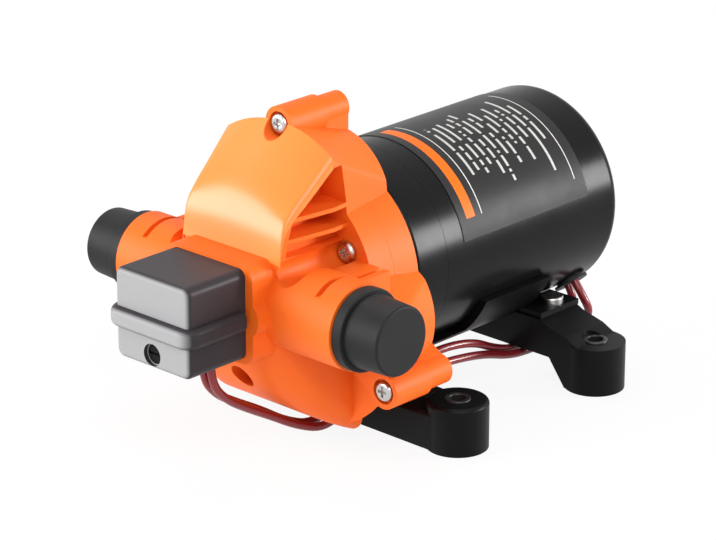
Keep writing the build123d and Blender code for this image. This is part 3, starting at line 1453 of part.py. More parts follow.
def wire_solid(points):
    """A round wire of straight runs joined by arcs as large as the runs allow."""
    places = [Vector(x, y - seam_setback, z + axis_height) for x, y, z in points]
    radii = []
    for before, here, after in zip(places, places[1:], places[2:]):
        run_in = here - before
        run_out = after - here
        turn = math.radians(run_in.get_angle(run_out))
        radii.append(wire_arc_share * min(run_in.length, run_out.length) / math.tan(turn / 2))
    with BuildPart() as wire:
        with BuildLine() as route:
            FilletPolyline(*places, radius=radii)
        start = route.wire().position_at(0)
        heading = route.wire().tangent_at(0)
        with BuildSketch(Plane(origin=start, z_dir=heading)):
            Circle(wire_radius)
        sweep(path=route.wire())
    runs = [(b - a).length for a, b in zip(places, places[1:])]
    print("wire radii", [round(r, 1) for r in radii])
    print("wire runs", [round(r, 1) for r in runs])
    print("wire length", round(route.wire().length, 1))
    print("wire volume share", round(wire.part.volume / (math.pi * wire_radius**2 * route.wire().length), 4))
    return wire.part


wire_a = wire_solid(wire_a_points)
wire_a.label = "wire_a"
wire_b = wire_solid(wire_b_points)
wire_b.label = "wire_b"

made = [
    motor_can.part, motor_bell.part, motor_label.part, front_outer, front_inner, rear_outer, rear_inner,
    wobble_outer, wobble_inner, shaft.part, armature_core.part, armature_windings.part, commutator.part,
    magnets.part, brush_plate.part, brush_holders.part, brushes.part, brush_springs.part, motor_bolts.part,
    lower_housing.part, upper_housing.part, corner_screws, side_screws, eccentric_bush.part,
    wobble_plate.part, pistons.part, piston_screws.part, diaphragm.part, valve_plate.part,
    inlet_valves.part, outlet_valve.part, valve_seal.part, switch_base.part, switch_screws.part,
    switch_diaphragm.part, switch_housing.part, switch_plunger.part, switch_spring.part,
    adjusting_screw.part, microswitch.part, microswitch_button.part, outlet_cap, inlet_cap, cradle.part,
    cradle_rivets.part, front_foot_bar.part, rear_foot_bar.part, foot_sleeves.part, base_screws.part,
    can_grommet.part, switch_grommet.part, wire_a, wire_b,
]
for piece in made:
    export_step(piece, f"parts/{piece.label}.step")
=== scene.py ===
import json
import math

import bmesh
import bpy
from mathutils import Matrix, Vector


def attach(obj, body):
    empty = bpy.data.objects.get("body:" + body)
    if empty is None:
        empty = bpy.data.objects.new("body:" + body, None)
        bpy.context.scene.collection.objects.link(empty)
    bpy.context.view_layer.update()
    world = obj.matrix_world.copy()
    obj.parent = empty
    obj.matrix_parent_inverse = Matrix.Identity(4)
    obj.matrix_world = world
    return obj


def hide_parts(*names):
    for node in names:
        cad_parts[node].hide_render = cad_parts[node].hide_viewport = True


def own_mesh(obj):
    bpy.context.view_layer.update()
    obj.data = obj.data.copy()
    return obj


bl_info = {
    "name": "Caravan water pump",
    "version": (1, 0, 0),
    "blender": (4, 5, 0),
    "location": "View3D > Sidebar > Water pump",
    "description": "Finishes a caravan water pump and its small details around its solid model",
    "category": "Add Mesh",
}

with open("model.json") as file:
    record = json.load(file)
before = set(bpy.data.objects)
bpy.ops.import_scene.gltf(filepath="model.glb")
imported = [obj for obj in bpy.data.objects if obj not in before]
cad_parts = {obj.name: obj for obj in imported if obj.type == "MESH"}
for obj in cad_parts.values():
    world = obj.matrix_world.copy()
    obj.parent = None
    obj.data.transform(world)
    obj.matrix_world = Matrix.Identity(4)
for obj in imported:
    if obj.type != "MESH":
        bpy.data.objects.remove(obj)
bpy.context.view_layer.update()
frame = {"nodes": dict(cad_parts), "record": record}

MM = 0.001

# Places on the pump: the motor axis above the floor, and the seam between the can and its front bell
AXIS_HEIGHT = 54.4 * MM
SEAM_Y = -24.6 * MM

# Nodes whose moulded edges are rounded, with the body each rides on and the width of its rounding
MOULDED = {
    "upper_housing": ("root", 0.9 * MM),
    "lower_housing": ("root", 0.6 * MM),
    "switch_housing": ("root", 0.5 * MM),
    "switch_base": ("root", 0.25 * MM),
    "cradle": ("root", 0.4 * MM),
    "front_foot_bar": ("root", 0.9 * MM),
    "rear_foot_bar": ("root", 0.9 * MM),
    "foot_sleeves": ("root", 0.3 * MM),
    "motor_bell": ("root", 0.3 * MM),
    "corner_screws": ("root", 0.12 * MM),
    "side_screws": ("root", 0.12 * MM),
}

# How those pieces are cleaned, rounded and shaded
WELD_DISTANCE = 0.002 * MM
FLAT_ANGLE = math.radians(0.05)
ROUNDED_ANGLE = math.radians(32)
ROUNDING_SEGMENTS = 3
SMOOTH_ANGLE = math.radians(35)

# Sections of the hood's face, brow first, in millimetres: station ahead of the seam, half width at the root,
# height of the root, half width and height of the shoulders, height of the crown and corner radius
HOOD_ROWS = (
    (42.4, 25.0, 8.0, 24.2, 46.9, 54.5, 3.5),
    (52.5, 23.5, 8.0, 23.1, 38.3, 42.6, 3.0),
    (59.6, 22.4, 8.0, 22.3, 32.0, 34.2, 2.2),
    (63.0, 22.0, 8.0, 22.0, 27.0, 27.8, 1.6),
    (64.9, 22.0, 8.0, 22.0, 16.3, 16.6, 1.2),
)
# Skin over that face, in millimetres: height over the solid, reach down the sides, thickness
HOOD_LIFT = 0.12
HOOD_SKIRT = 1.2
HOOD_THICKNESS = 0.4
# Steps of the skin: between two sections, round a shoulder and over the crown
HOOD_STEPS = 10
SHOULDER_STEPS = 6
CROWN_COLUMNS = 40
# How far the skin's curve keeps its direction at a section, and the widest share of the crown's half that a
# shoulder takes
HOOD_TENSION = 0.92
SHOULDER_SHARE = 0.45
SMALLEST_SPAN = 0.001
HOOD_SMOOTH_ANGLE = math.radians(40)
# Pocket of the upper screw, cut through the skin
POCKET_HEIGHT = 53.3 * MM
POCKET_RADIUS = 4.45 * MM
POCKET_STATION = 60 * MM
POCKET_DEPTH = 80 * MM
POCKET_SIDES = 64

# Finishes: clear coat, depth of the grain, scuffs, and the facing at which the painted sheen on forward faces
# begins and is full
COAT_ROUGHNESS = 0.1
GRAIN_DEPTH = 0.1 * MM
SCUFF_SCALE = 420.0
SCUFF_RANGE = (0.56, 0.74)
SCUFF_SHARE = 0.35
PAINTED_SHEEN_RANGE = (-0.55, -0.95)

# Print on the label: places behind the seam, and angles round the motor axis from its right side upwards
LABEL_ANGLES = (0.42, 1.75)
RULES = ((19.3 * MM, 19.7 * MM), (67.0 * MM, 67.4 * MM))
ROWS_SPAN = (21.5 * MM, 64.5 * MM)
ROW_PITCH = 3.3 * MM
ROW_WIDTH = 1.1 * MM
ROW_STRENGTH = 0.75
ROW_LEFT_END, ROW_LEFT_SPREAD = 1.62, 0.25
ROW_RIGHT_END, ROW_RIGHT_SPREAD = 0.55, 0.4
MARK_ANGLE = 0.03
MARK_BLANKS = 0.22
MARKS_PER_ROW = 97.0

# Routes of the two wires from the switch to the motor, in millimetres: right, behind the seam, above the axis
WIRE_ROUTES = {
    "wire_a": (
        (3.9, -82.0, -13.2), (3.9, -82.0, -22.0), (3.0, -75.5, -29.8), (2.4, -66.0, -35.6),
        (3.0, -55.5, -41.4), (4.8, -45.5, -48.0), (8.0, -36.0, -51.1), (12.0, -27.8, -44.6),
        (15.0, -19.8, -38.6), (16.4, -8.0, -38.9), (18.4, 4.0, -37.4), (19.8, 17.0, -35.9),
        (20.3, 31.0, -38.2), (19.8, 41.5, -43.6), (18.8, 52.0, -47.3), (17.8, 63.0, -47.3),
        (17.8, 73.5, -46.0), (21.0, 80.0, -41.2), (25.94, 78.0, -33.71), (20.8, 78.0, -27.58),
    ),
    "wire_b": (
        (7.5, -82.0, -13.2), (7.5, -82.0, -22.6), (7.0, -75.0, -30.6), (6.8, -65.5, -36.6),
        (7.8, -55.0, -42.4), (10.2, -45.5, -48.0), (13.5, -36.0, -51.1), (17.2, -29.0, -44.6),
        (19.2, -21.2, -38.4), (20.2, -7.0, -39.3), (20.6, 6.0, -40.4), (21.0, 20.0, -41.2),
        (21.4, 35.0, -43.4), (22.8, 46.5, -47.0), (23.2, 58.0, -47.9), (22.4, 69.0, -47.6),
        (24.4, 79.5, -45.2), (30.4, 81.5, -39.6), (29.34, 78.0, -32.17), (23.55, 78.0, -25.27),
    ),
}
WIRE_RADIUS = 1.45 * MM

# Lamps: name, place in metres, width and power; then the point that they face
LAMPS = (
    ("key", (-0.9, -1.2, 0.3), 1.3, 42.0),
    ("side", (1.0, -0.75, 1.0), 1.0, 13.0),
    ("strip", (1.15, 1.1, 0.34), 0.5, 25.0),
    ("rear", (-0.5, 0.2, 1.4), 0.9, 9.0),
)
LAMP_TARGET = (0, -0.02, 0.05)
FLOOR_SIZE = 8.0
PAPER_TONE = 0.9
FLOOR_SHADOW = 0.1
SKY_FILL = 0.22
SENSOR_WIDTH = 36.0
VIEW_REACH = 20.0


class PumpSizes(bpy.types.PropertyGroup):
    """Sizes of the small details and of the view."""

    view_azimuth: bpy.props.FloatProperty(
        name="View azimuth", description="Side from which the pump is seen", default=43.33
    )
    view_elevation: bpy.props.FloatProperty(
        name="View elevation", description="Height of the view above the horizon", default=20.81
    )
    view_distance: bpy.props.FloatProperty(
        name="View distance", description="Distance of the camera", default=1.1378, unit="LENGTH"
    )
    view_target: bpy.props.FloatVectorProperty(
        name="View target", description="Point that the camera looks at",
        default=(0.0, -0.02988, 0.0473), subtype="TRANSLATION"
    )
    view_lens: bpy.props.FloatProperty(
        name="Lens", description="Focal length in millimetres", default=170.7
    )
    stripe_front: bpy.props.FloatProperty(
        name="Stripe front", description="Front edge of the orange stripe, behind the seam",
        default=12.0 * MM, unit="LENGTH"
    )
    stripe_width: bpy.props.FloatProperty(
        name="Stripe width", description="Width of the orange stripe", default=4.2 * MM, unit="LENGTH"
    )


class PumpColours(bpy.types.PropertyGroup):
    """Colours of the finishes."""

    orange: bpy.props.FloatVectorProperty(
        name="Orange", description="Moulded head", subtype="COLOR", default=(0.86, 0.158, 0.014)
    )
    orange_deep: bpy.props.FloatVectorProperty(
        name="Deep orange", description="Thicker, redder parts of the head", subtype="COLOR",
        default=(0.78, 0.108, 0.008)
    )
    motor: bpy.props.FloatVectorProperty(
        name="Motor", description="Black enamel of the motor", subtype="COLOR",
        default=(0.004, 0.0042, 0.0045)
    )
    label: bpy.props.FloatVectorProperty(
        name="Label", description="Charcoal film on the motor", subtype="COLOR", default=(0.022, 0.021, 0.021)
    )
    label_print: bpy.props.FloatVectorProperty(
        name="Label print", description="Pale rules on the label", subtype="COLOR", default=(0.7, 0.69, 0.67)
    )
    switch: bpy.props.FloatVectorProperty(
        name="Switch", description="Dark grey plastic of the switch", subtype="COLOR",
        default=(0.028, 0.024, 0.027)
    )
    # Painted sheen: this pale grey is painted on the switch's forward-facing surfaces in place of the front
    # lamp's sheen on dark plastic
    switch_painted_sheen: bpy.props.FloatVectorProperty(
        name="Switch front", description="Satin grey of the surfaces that face forwards", subtype="COLOR",
        default=(0.29, 0.29, 0.295)
    )
    rubber: bpy.props.FloatVectorProperty(
        name="Rubber", description="Black rubber of the caps", subtype="COLOR", default=(0.012, 0.012, 0.0125)
    )
    base: bpy.props.FloatVectorProperty(
        name="Base", description="Black plastic of the base", subtype="COLOR", default=(0.003, 0.003, 0.0032)
    )
    wire: bpy.props.FloatVectorProperty(
        name="Wire", description="Dark red insulation", subtype="COLOR", default=(0.8, 0.018, 0.06)
    )


def sizes():
    return bpy.context.scene.pump_sizes


def colours():
    return bpy.context.scene.pump_colours


def clear_selection():
    """Nothing stays selected before a piece is made."""
    if bpy.context.object and bpy.context.object.mode != "OBJECT":
        bpy.ops.object.mode_set(mode="OBJECT")
    bpy.ops.object.select_all(action="DESELECT")


def grain_group():
    """Fine moulded grain and slow changes of tone, shared by the materials."""
    found = bpy.data.node_groups.get("moulded_grain")
    if found:
        return found
    group = bpy.data.node_groups.new("moulded_grain", "ShaderNodeTree")
    face = group.interface
    face.new_socket("Grain size", in_out="INPUT", socket_type="NodeSocketFloat").default_value = 2500.0
    face.new_socket("Patch size", in_out="INPUT", socket_type="NodeSocketFloat").default_value = 60.0
    face.new_socket("Height", in_out="OUTPUT", socket_type="NodeSocketFloat")
    face.new_socket("Patches", in_out="OUTPUT", socket_type="NodeSocketFloat")
    face.new_socket("Scuffs", in_out="OUTPUT", socket_type="NodeSocketFloat")
    nodes, links = group.nodes, group.links
    inside = nodes.new("NodeGroupInput")
    outside = nodes.new("NodeGroupOutput")
    place = nodes.new("ShaderNodeTexCoord")
    fine = nodes.new("ShaderNodeTexNoise")
    fine.inputs["Detail"].default_value = 3.0
    patch = nodes.new("ShaderNodeTexNoise")
    patch.inputs["Detail"].default_value = 4.0
    scuff = nodes.new("ShaderNodeTexNoise")
    scuff.inputs["Scale"].default_value = SCUFF_SCALE
    scuff.inputs["Detail"].default_value = 6.0
    scuff.inputs["Distortion"].default_value = 1.6
    ramp = nodes.new("ShaderNodeMapRange")
    ramp.inputs["From Min"].default_value, ramp.inputs["From Max"].default_value = SCUFF_RANGE
    for texture in (fine, patch, scuff):
        links.new(place.outputs["Object"], texture.inputs["Vector"])
    links.new(inside.outputs["Grain size"], fine.inputs["Scale"])
    links.new(inside.outputs["Patch size"], patch.inputs["Scale"])
    links.new(scuff.outputs["Fac"], ramp.inputs["Value"])
    links.new(fine.outputs["Fac"], outside.inputs["Height"])
    links.new(patch.outputs["Fac"], outside.inputs["Patches"])
    links.new(ramp.outputs["Result"], outside.inputs["Scuffs"])
    return group


def finish(name, colour, second, rough, rough_spread=0.08, grain=2500.0, depth=0.04, metallic=0.0,
           coat=0.0, specular=0.5, patch=60.0):
    """A material with grain, patches of tone and faint scuffs."""
    material = bpy.data.materials.new(name)
    material.use_nodes = True
    tree = material.node_tree
    shader = tree.nodes["Principled BSDF"]
    shader.inputs["Metallic"].default_value = metallic
    shader.inputs["Coat Weight"].default_value = coat
    shader.inputs["Coat Roughness"].default_value = COAT_ROUGHNESS
    shader.inputs["Specular IOR Level"].default_value = specular
    group = tree.nodes.new("ShaderNodeGroup")
    group.node_tree = grain_group()
    group.inputs["Grain size"].default_value = grain
    group.inputs["Patch size"].default_value = patch
    mix = tree.nodes.new("ShaderNodeMix")
    mix.data_type = "RGBA"
    mix.inputs["A"].default_value = (*colour, 1)
    mix.inputs["B"].default_value = (*second, 1)
    spread = tree.nodes.new("ShaderNodeMapRange")
    spread.inputs["To Min"].default_value = rough - rough_spread
    spread.inputs["To Max"].default_value = rough + rough_spread
    bump = tree.nodes.new("ShaderNodeBump")
    bump.inputs["Strength"].default_value = depth
    bump.inputs["Distance"].default_value = GRAIN_DEPTH
    blend = tree.nodes.new("ShaderNodeMath")
    blend.operation = "MULTIPLY_ADD"
    blend.inputs[1].default_value = SCUFF_SHARE
    tree.links.new(group.outputs["Scuffs"], blend.inputs[0])
    tree.links.new(group.outputs["Patches"], blend.inputs[2])
    tree.links.new(group.outputs["Patches"], mix.inputs["Factor"])
    tree.links.new(blend.outputs["Value"], spread.inputs["Value"])
    tree.links.new(group.outputs["Height"], bump.inputs["Height"])
    tree.links.new(mix.outputs["Result"], shader.inputs["Base Color"])
    tree.links.new(spread.outputs["Result"], shader.inputs["Roughness"])
    tree.links.new(bump.outputs["Normal"], shader.inputs["Normal"])
    return material


def shade(colour, share):
    """The same colour, lighter or darker."""
    return tuple(channel * share for channel in colour)


def painted_front_sheen(material, colour):
    """Surfaces of the piece that face forwards take a paler tone: a painted sheen of the front lamp, not a
    finish of the plastic.
    """
    tree = material.node_tree
    shader = tree.nodes["Principled BSDF"]
    base = shader.inputs["Base Color"].links[0].from_socket
    place = tree.nodes.new("ShaderNodeTexCoord")
    split = tree.nodes.new("ShaderNodeSeparateXYZ")
    facing = tree.nodes.new("ShaderNodeMapRange")
    facing.inputs["From Min"].default_value, facing.inputs["From Max"].default_value = PAINTED_SHEEN_RANGE
    mix = tree.nodes.new("ShaderNodeMix")
    mix.data_type = "RGBA"
    mix.inputs["B"].default_value = (*colour, 1)
    tree.links.new(place.outputs["Normal"], split.inputs["Vector"])
    tree.links.new(split.outputs["Y"], facing.inputs["Value"])
    tree.links.new(facing.outputs["Result"], mix.inputs["Factor"])
    tree.links.new(base, mix.inputs["A"])
    tree.links.new(mix.outputs["Result"], shader.inputs["Base Color"])
    return material


def label_material():
    """Charcoal film with an orange stripe, two pale rules and rows of plain pale marks."""
    tint = colours()
    material = finish("label_film", tint.label, shade(tint.label, 1.25), 0.4, specular=0.12)
    tree = material.node_tree
    nodes, links = tree.nodes, tree.links
    shader = nodes["Principled BSDF"]
    base = shader.inputs["Base Color"].links[0].from_socket
    place = nodes.new("ShaderNodeTexCoord")
    split = nodes.new("ShaderNodeSeparateXYZ")
    links.new(place.outputs["Object"], split.inputs["Vector"])

    def math_node(kind, first, second=None):
        node = nodes.new("ShaderNodeMath")
        node.operation = kind
        for socket, value in zip(node.inputs, (first, second)):
            if value is None:
                continue
            if isinstance(value, (int, float)):
                socket.default_value = value
            else:
                links.new(value, socket)
        return node.outputs["Value"]

    def both(first, second):
        return math_node("MULTIPLY", first, second)

    def band(value, low, high):
        return both(math_node("GREATER_THAN", value, low), math_node("LESS_THAN", value, high))

    def chance(seed):
        noise = nodes.new("ShaderNodeTexWhiteNoise")
        noise.noise_dimensions = "1D"
        links.new(seed, noise.inputs["W"])
        return noise.outputs["Value"]

    along = math_node("SUBTRACT", split.outputs["Y"], SEAM_Y)
    height = math_node("SUBTRACT", split.outputs["Z"], AXIS_HEIGHT)
    round_angle = math_node("ARCTAN2", height, split.outputs["X"])
    on_label = band(round_angle, *LABEL_ANGLES)
    size = sizes()
    stripe = both(band(along, size.stripe_front, size.stripe_front + size.stripe_width), on_label)
    row_number = math_node("FLOOR", math_node("DIVIDE", along, ROW_PITCH))
    mark_number = math_node("FLOOR", math_node("DIVIDE", round_angle, MARK_ANGLE))
    mark = chance(math_node("ADD", both(row_number, MARKS_PER_ROW), mark_number))
    in_row = band(math_node("MODULO", along, ROW_PITCH), 0.0, ROW_WIDTH)
    marks = both(in_row, math_node("GREATER_THAN", mark, MARK_BLANKS))
    ragged = chance(row_number)
    left_end = math_node("SUBTRACT", ROW_LEFT_END, both(ragged, ROW_LEFT_SPREAD))
    right_end = math_node("ADD", ROW_RIGHT_END, both(ragged, ROW_RIGHT_SPREAD))
    marks = both(marks, both(band(along, *ROWS_SPAN), band(round_angle, right_end, left_end)))
    front_rule, rear_rule = (both(band(along, *rule), on_label) for rule in RULES)
    pale = math_node("MAXIMUM", both(marks, ROW_STRENGTH), math_node("MAXIMUM", front_rule, rear_rule))
    first = nodes.new("ShaderNodeMix")
    first.data_type = "RGBA"
    first.inputs["B"].default_value = (*tint.label_print, 1)
    links.new(pale, first.inputs["Factor"])
    links.new(base, first.inputs["A"])
    second = nodes.new("ShaderNodeMix")
    second.data_type = "RGBA"
    second.inputs["B"].default_value = (*tint.orange, 1)
    links.new(stripe, second.inputs["Factor"])
    links.new(first.outputs["Result"], second.inputs["A"])
    links.new(second.outputs["Result"], shader.inputs["Base Color"])
    return material


def make_finishes():
    """One material for each slot of the record."""
    tint = colours()
    return {
        "motor_black": finish("motor_black", tint.motor, shade(tint.motor, 1.5), 0.24, 0.05, 3500, 0.02,
                              specular=0.11),
        "label_charcoal": label_material(),
        "orange_plastic": finish("orange_plastic", tint.orange, tint.orange_deep, 0.5, 0.06, 2600, 0.05,
                                 specular=0.2, patch=25.0),
        "bearing_steel": finish("bearing_steel", (0.55, 0.55, 0.54), (0.42, 0.42, 0.41), 0.25, metallic=1.0),
        "core_steel": finish("core_steel", (0.2, 0.2, 0.2), (0.12, 0.12, 0.12), 0.5, metallic=0.9),
        "copper": finish("copper", (0.62, 0.24, 0.09), (0.45, 0.15, 0.05), 0.35, metallic=1.0),
        "ferrite": finish("ferrite", (0.05, 0.05, 0.05), (0.08, 0.08, 0.08), 0.7),
        "inner_plastic": finish("inner_plastic", (0.62, 0.6, 0.54), (0.55, 0.53, 0.48), 0.45),
        "carbon": finish("carbon", (0.02, 0.02, 0.02), (0.035, 0.035, 0.035), 0.6),
        "screw_steel": finish("screw_steel", (0.62, 0.61, 0.59), (0.48, 0.47, 0.46), 0.24, metallic=1.0),
        "inner_rubber": finish("inner_rubber", (0.02, 0.02, 0.02), (0.03, 0.03, 0.03), 0.7),
        # The switch's forward faces take a painted sheen of the front lamp
        "switch_grey": painted_front_sheen(
            finish("switch_grey", tint.switch, shade(tint.switch, 1.3), 0.42, 0.07, 2200, 0.09,
                   specular=0.15),
            tint.switch_painted_sheen,
        ),
        "adjuster_black": finish("adjuster_black", (0.004, 0.004, 0.004), (0.007, 0.007, 0.007), 0.5,
                                 specular=0.1),
        "cap_rubber": finish("cap_rubber", tint.rubber, shade(tint.rubber, 1.5), 0.5, 0.08, 1800, 0.12,
                             specular=0.12),
        "base_black": finish("base_black", tint.base, shade(tint.base, 1.6), 0.4, 0.08, 2000, 0.1,
                             specular=0.1),
        "sleeve_black": finish("sleeve_black", (0.012, 0.012, 0.012), (0.02, 0.02, 0.02), 0.35),
        "wire_red": finish("wire_red", tint.wire, shade(tint.wire, 0.7), 0.32, coat=0.3),
    }


def slot_of(node):
    for row in frame["record"]["subparts"]:
        if row["node"] == node:
            return row["material_slot"]
    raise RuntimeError(f"no slot for {node}")


class PUMP_OT_finishes(bpy.types.Operator):
    """Give every solid of the pump its finish"""

    bl_idname = "pump.finishes"
    bl_label = "Finishes"

    def execute(self, context):
        made = make_finishes()
        for name, node in frame["nodes"].items():
            node.data.materials.clear()
            node.data.materials.append(made[slot_of(name)])
        return {"FINISHED"}


class PUMP_OT_wires(bpy.types.Operator):
    """Lay the two wires from the pressure switch to the motor"""

    bl_idname = "pump.wires"
    bl_label = "Wires"

    def execute(self, context):
        clear_selection()
        for name, route in WIRE_ROUTES.items():
            line = bpy.data.curves.new(f"{name}_line", "CURVE")
            line.dimensions = "3D"
            line.resolution_u = 6
            line.bevel_depth = WIRE_RADIUS
            line.bevel_resolution = 4
            line.use_fill_caps = True
            spline = line.splines.new("NURBS")
            spline.points.add(len(route) - 1)
            places = [(x * MM, SEAM_Y + y * MM, AXIS_HEIGHT + z * MM) for x, y, z in route]
            for point, place in zip(spline.points, places):
                point.co = (*place, 1)
            spline.order_u = 3
            spline.use_endpoint_u = True
            piece = bpy.data.objects.new(f"{name}_insulated", line)
            context.scene.collection.objects.link(piece)
            line.materials.append(bpy.data.materials["wire_red"])
            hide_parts(name)
            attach(piece, "root")
        return {"FINISHED"}


def copy_of(context, node, name):
    """A free copy of a solid, which can be finished and then stands for it."""
    piece = frame["nodes"][node].copy()
    piece.data = piece.data.copy()
    piece.name = name
    piece.parent = None
    for key in list(piece.keys()):
        del piece[key]
    context.scene.collection.objects.link(piece)
    return piece


class PUMP_OT_mouldings(bpy.types.Operator):
    """Round the edges of the moulded pieces as a mould leaves them"""

    bl_idname = "pump.mouldings"
    bl_label = "Moulded pieces"

    def execute(self, context):
        for name, (body, width) in MOULDED.items():
            clear_selection()
            piece = copy_of(context, name, f"{name}_moulded")
            piece.select_set(True)
            context.view_layer.objects.active = piece
            bpy.ops.object.mode_set(mode="EDIT")
            bpy.ops.mesh.select_all(action="SELECT")
            bpy.ops.mesh.remove_doubles(threshold=WELD_DISTANCE)
            bpy.ops.mesh.dissolve_limited(angle_limit=FLAT_ANGLE, delimit={"NORMAL"})
            bpy.ops.object.mode_set(mode="OBJECT")
            bevel = piece.modifiers.new("moulded edges", "BEVEL")
            bevel.width = width
            bevel.segments = ROUNDING_SEGMENTS
            bevel.limit_method = "ANGLE"
            bevel.angle_limit = ROUNDED_ANGLE
            bevel.use_clamp_overlap = True
            bpy.ops.object.modifier_apply(modifier=bevel.name)
            bpy.ops.object.mode_set(mode="EDIT")
            bpy.ops.mesh.select_all(action="SELECT")
            bpy.ops.mesh.quads_convert_to_tris(quad_method="BEAUTY", ngon_method="BEAUTY")
            bpy.ops.object.mode_set(mode="OBJECT")
            bpy.ops.object.shade_smooth_by_angle(angle=SMOOTH_ANGLE)
            even = piece.modifiers.new("even shading", "WEIGHTED_NORMAL")
            even.mode = "FACE_AREA_WITH_ANGLE"
            even.keep_sharp = True
            bpy.ops.object.modifier_apply(modifier=even.name)
            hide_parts(name)
            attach(piece, body)
        clear_selection()
        return {"FINISHED"}


class PUMP_OT_spring(bpy.types.Operator):
    """Put a copy of the switch's coil, with a mesh of its own, in place of the solid coil"""

    bl_idname = "pump.spring"
    bl_label = "Switch spring"

    def execute(self, context):
        clear_selection()
        piece = copy_of(context, "switch_spring", "switch_spring_coil")
        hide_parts("switch_spring")
        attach(piece, "root")
        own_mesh(piece)
        return {"FINISHED"}


def hood_row(row):
    """Points of one section of the hood's face, from its left skirt over the crown to its right skirt."""
    station, half, root, shoulder_half, shoulder, top, corner = row
    rise = top - shoulder
    radius = (shoulder_half**2 + rise**2) / (2 * rise)
    middle = top - radius
    side = Vector((half - shoulder_half, root - shoulder)).normalized()
    lean = math.asin(shoulder_half / radius)
    along_arch = Vector((-math.cos(lean), math.sin(lean)))
    half_angle = side.angle(along_arch) / 2
    cut = min(corner / math.tan(half_angle), SHOULDER_SHARE * shoulder_half)
    corner_point = Vector((shoulder_half, shoulder))
    arch_start = corner_point + along_arch * cut
    side_start = corner_point + side * cut
    points = [side_start + side * HOOD_SKIRT]
    for step in range(SHOULDER_STEPS + 1):
        share = step / SHOULDER_STEPS
        first = side_start.lerp(corner_point, share)
        second = corner_point.lerp(arch_start, share)
        points.append(first.lerp(second, share))
    first_right = points[-1].x
    for step in range(1, CROWN_COLUMNS // 2 + 1):
        right = first_right * (1 - 2 * step / CROWN_COLUMNS)
        points.append(Vector((right, middle + math.sqrt(radius**2 - right**2))))
    mirrored = [Vector((-point.x, point.y)) for point in reversed(points[:-1])]
    return [Vector((point.x, -station, point.y)) for point in points + mirrored]


def smooth_rows(rows):
    """Rows between the given ones, on a smooth curve through them."""
    made = []
    count = len(rows)
    for index in range(count - 1):
        before = rows[max(index - 1, 0)]
        here, there = rows[index], rows[index + 1]
        after = rows[min(index + 2, count - 1)]
        reach = (there[len(there) // 2] - here[len(here) // 2]).length * HOOD_TENSION
        for step in range(HOOD_STEPS):
            share = step / HOOD_STEPS
            line = []
            for a, b, c, d in zip(before, here, there, after):
                lead_in = (c - a) * reach / max((c - a).length, SMALLEST_SPAN)
                lead_out = (d - b) * reach / max((d - b).length, SMALLEST_SPAN)
                line.append(
                    b * (2 * share**3 - 3 * share**2 + 1) + lead_in * (share**3 - 2 * share**2 + share)
                    + c * (3 * share**2 - 2 * share**3) + lead_out * (share**3 - share**2)
                )
            made.append(line)
    return made + [rows[-1]]


class PUMP_OT_hood(bpy.types.Operator):
    """Lay the smooth face over the hood of the head"""

    bl_idname = "pump.hood"
    bl_label = "Hood face"

    def execute(self, context):
        clear_selection()
        rows = smooth_rows([hood_row(row) for row in HOOD_ROWS])
        shell = bmesh.new()
        grid = [[shell.verts.new(point) for point in row] for row in rows]
        for low, high in zip(grid, grid[1:]):
            for first, second, third, fourth in zip(low, low[1:], high[1:], high):
                shell.faces.new((first, second, third, fourth))
        bmesh.ops.recalc_face_normals(shell, faces=shell.faces)
        if sum(face.normal.z * face.calc_area() for face in shell.faces) < 0:
            bmesh.ops.reverse_faces(shell, faces=shell.faces)
        shell.normal_update()
        lifted = [(vertex, vertex.co + vertex.normal * HOOD_LIFT) for vertex in shell.verts]
        for vertex, place in lifted:
            vertex.co = Vector((place.x * MM, SEAM_Y + place.y * MM, AXIS_HEIGHT + place.z * MM))
        mesh = bpy.data.meshes.new("hood_face")
        shell.to_mesh(mesh)
        shell.free()
        piece = bpy.data.objects.new("hood_face", mesh)
        context.scene.collection.objects.link(piece)
        piece.select_set(True)
        context.view_layer.objects.active = piece
        wall = piece.modifiers.new("thickness", "SOLIDIFY")
        wall.thickness = HOOD_THICKNESS * MM
        wall.offset = -1.0
        bpy.ops.object.modifier_apply(modifier=wall.name)
        clear_selection()
        bpy.ops.mesh.primitive_cylinder_add(
            vertices=POCKET_SIDES, radius=POCKET_RADIUS, depth=POCKET_DEPTH,
            location=(0, SEAM_Y - POCKET_STATION, AXIS_HEIGHT + POCKET_HEIGHT), rotation=(math.pi / 2, 0, 0),
        )
        cutter = context.object
        clear_selection()
        piece.select_set(True)
        context.view_layer.objects.active = piece
        pocket = piece.modifiers.new("pocket", "BOOLEAN")
        pocket.operation = "DIFFERENCE"
        pocket.object = cutter
        bpy.ops.object.modifier_apply(modifier=pocket.name)
        bpy.data.objects.remove(cutter)
        bpy.ops.object.shade_smooth_by_angle(angle=HOOD_SMOOTH_ANGLE)
        mesh.materials.append(bpy.data.materials["orange_plastic"])
        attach(piece, "root")
        clear_selection()
        return {"FINISHED"}


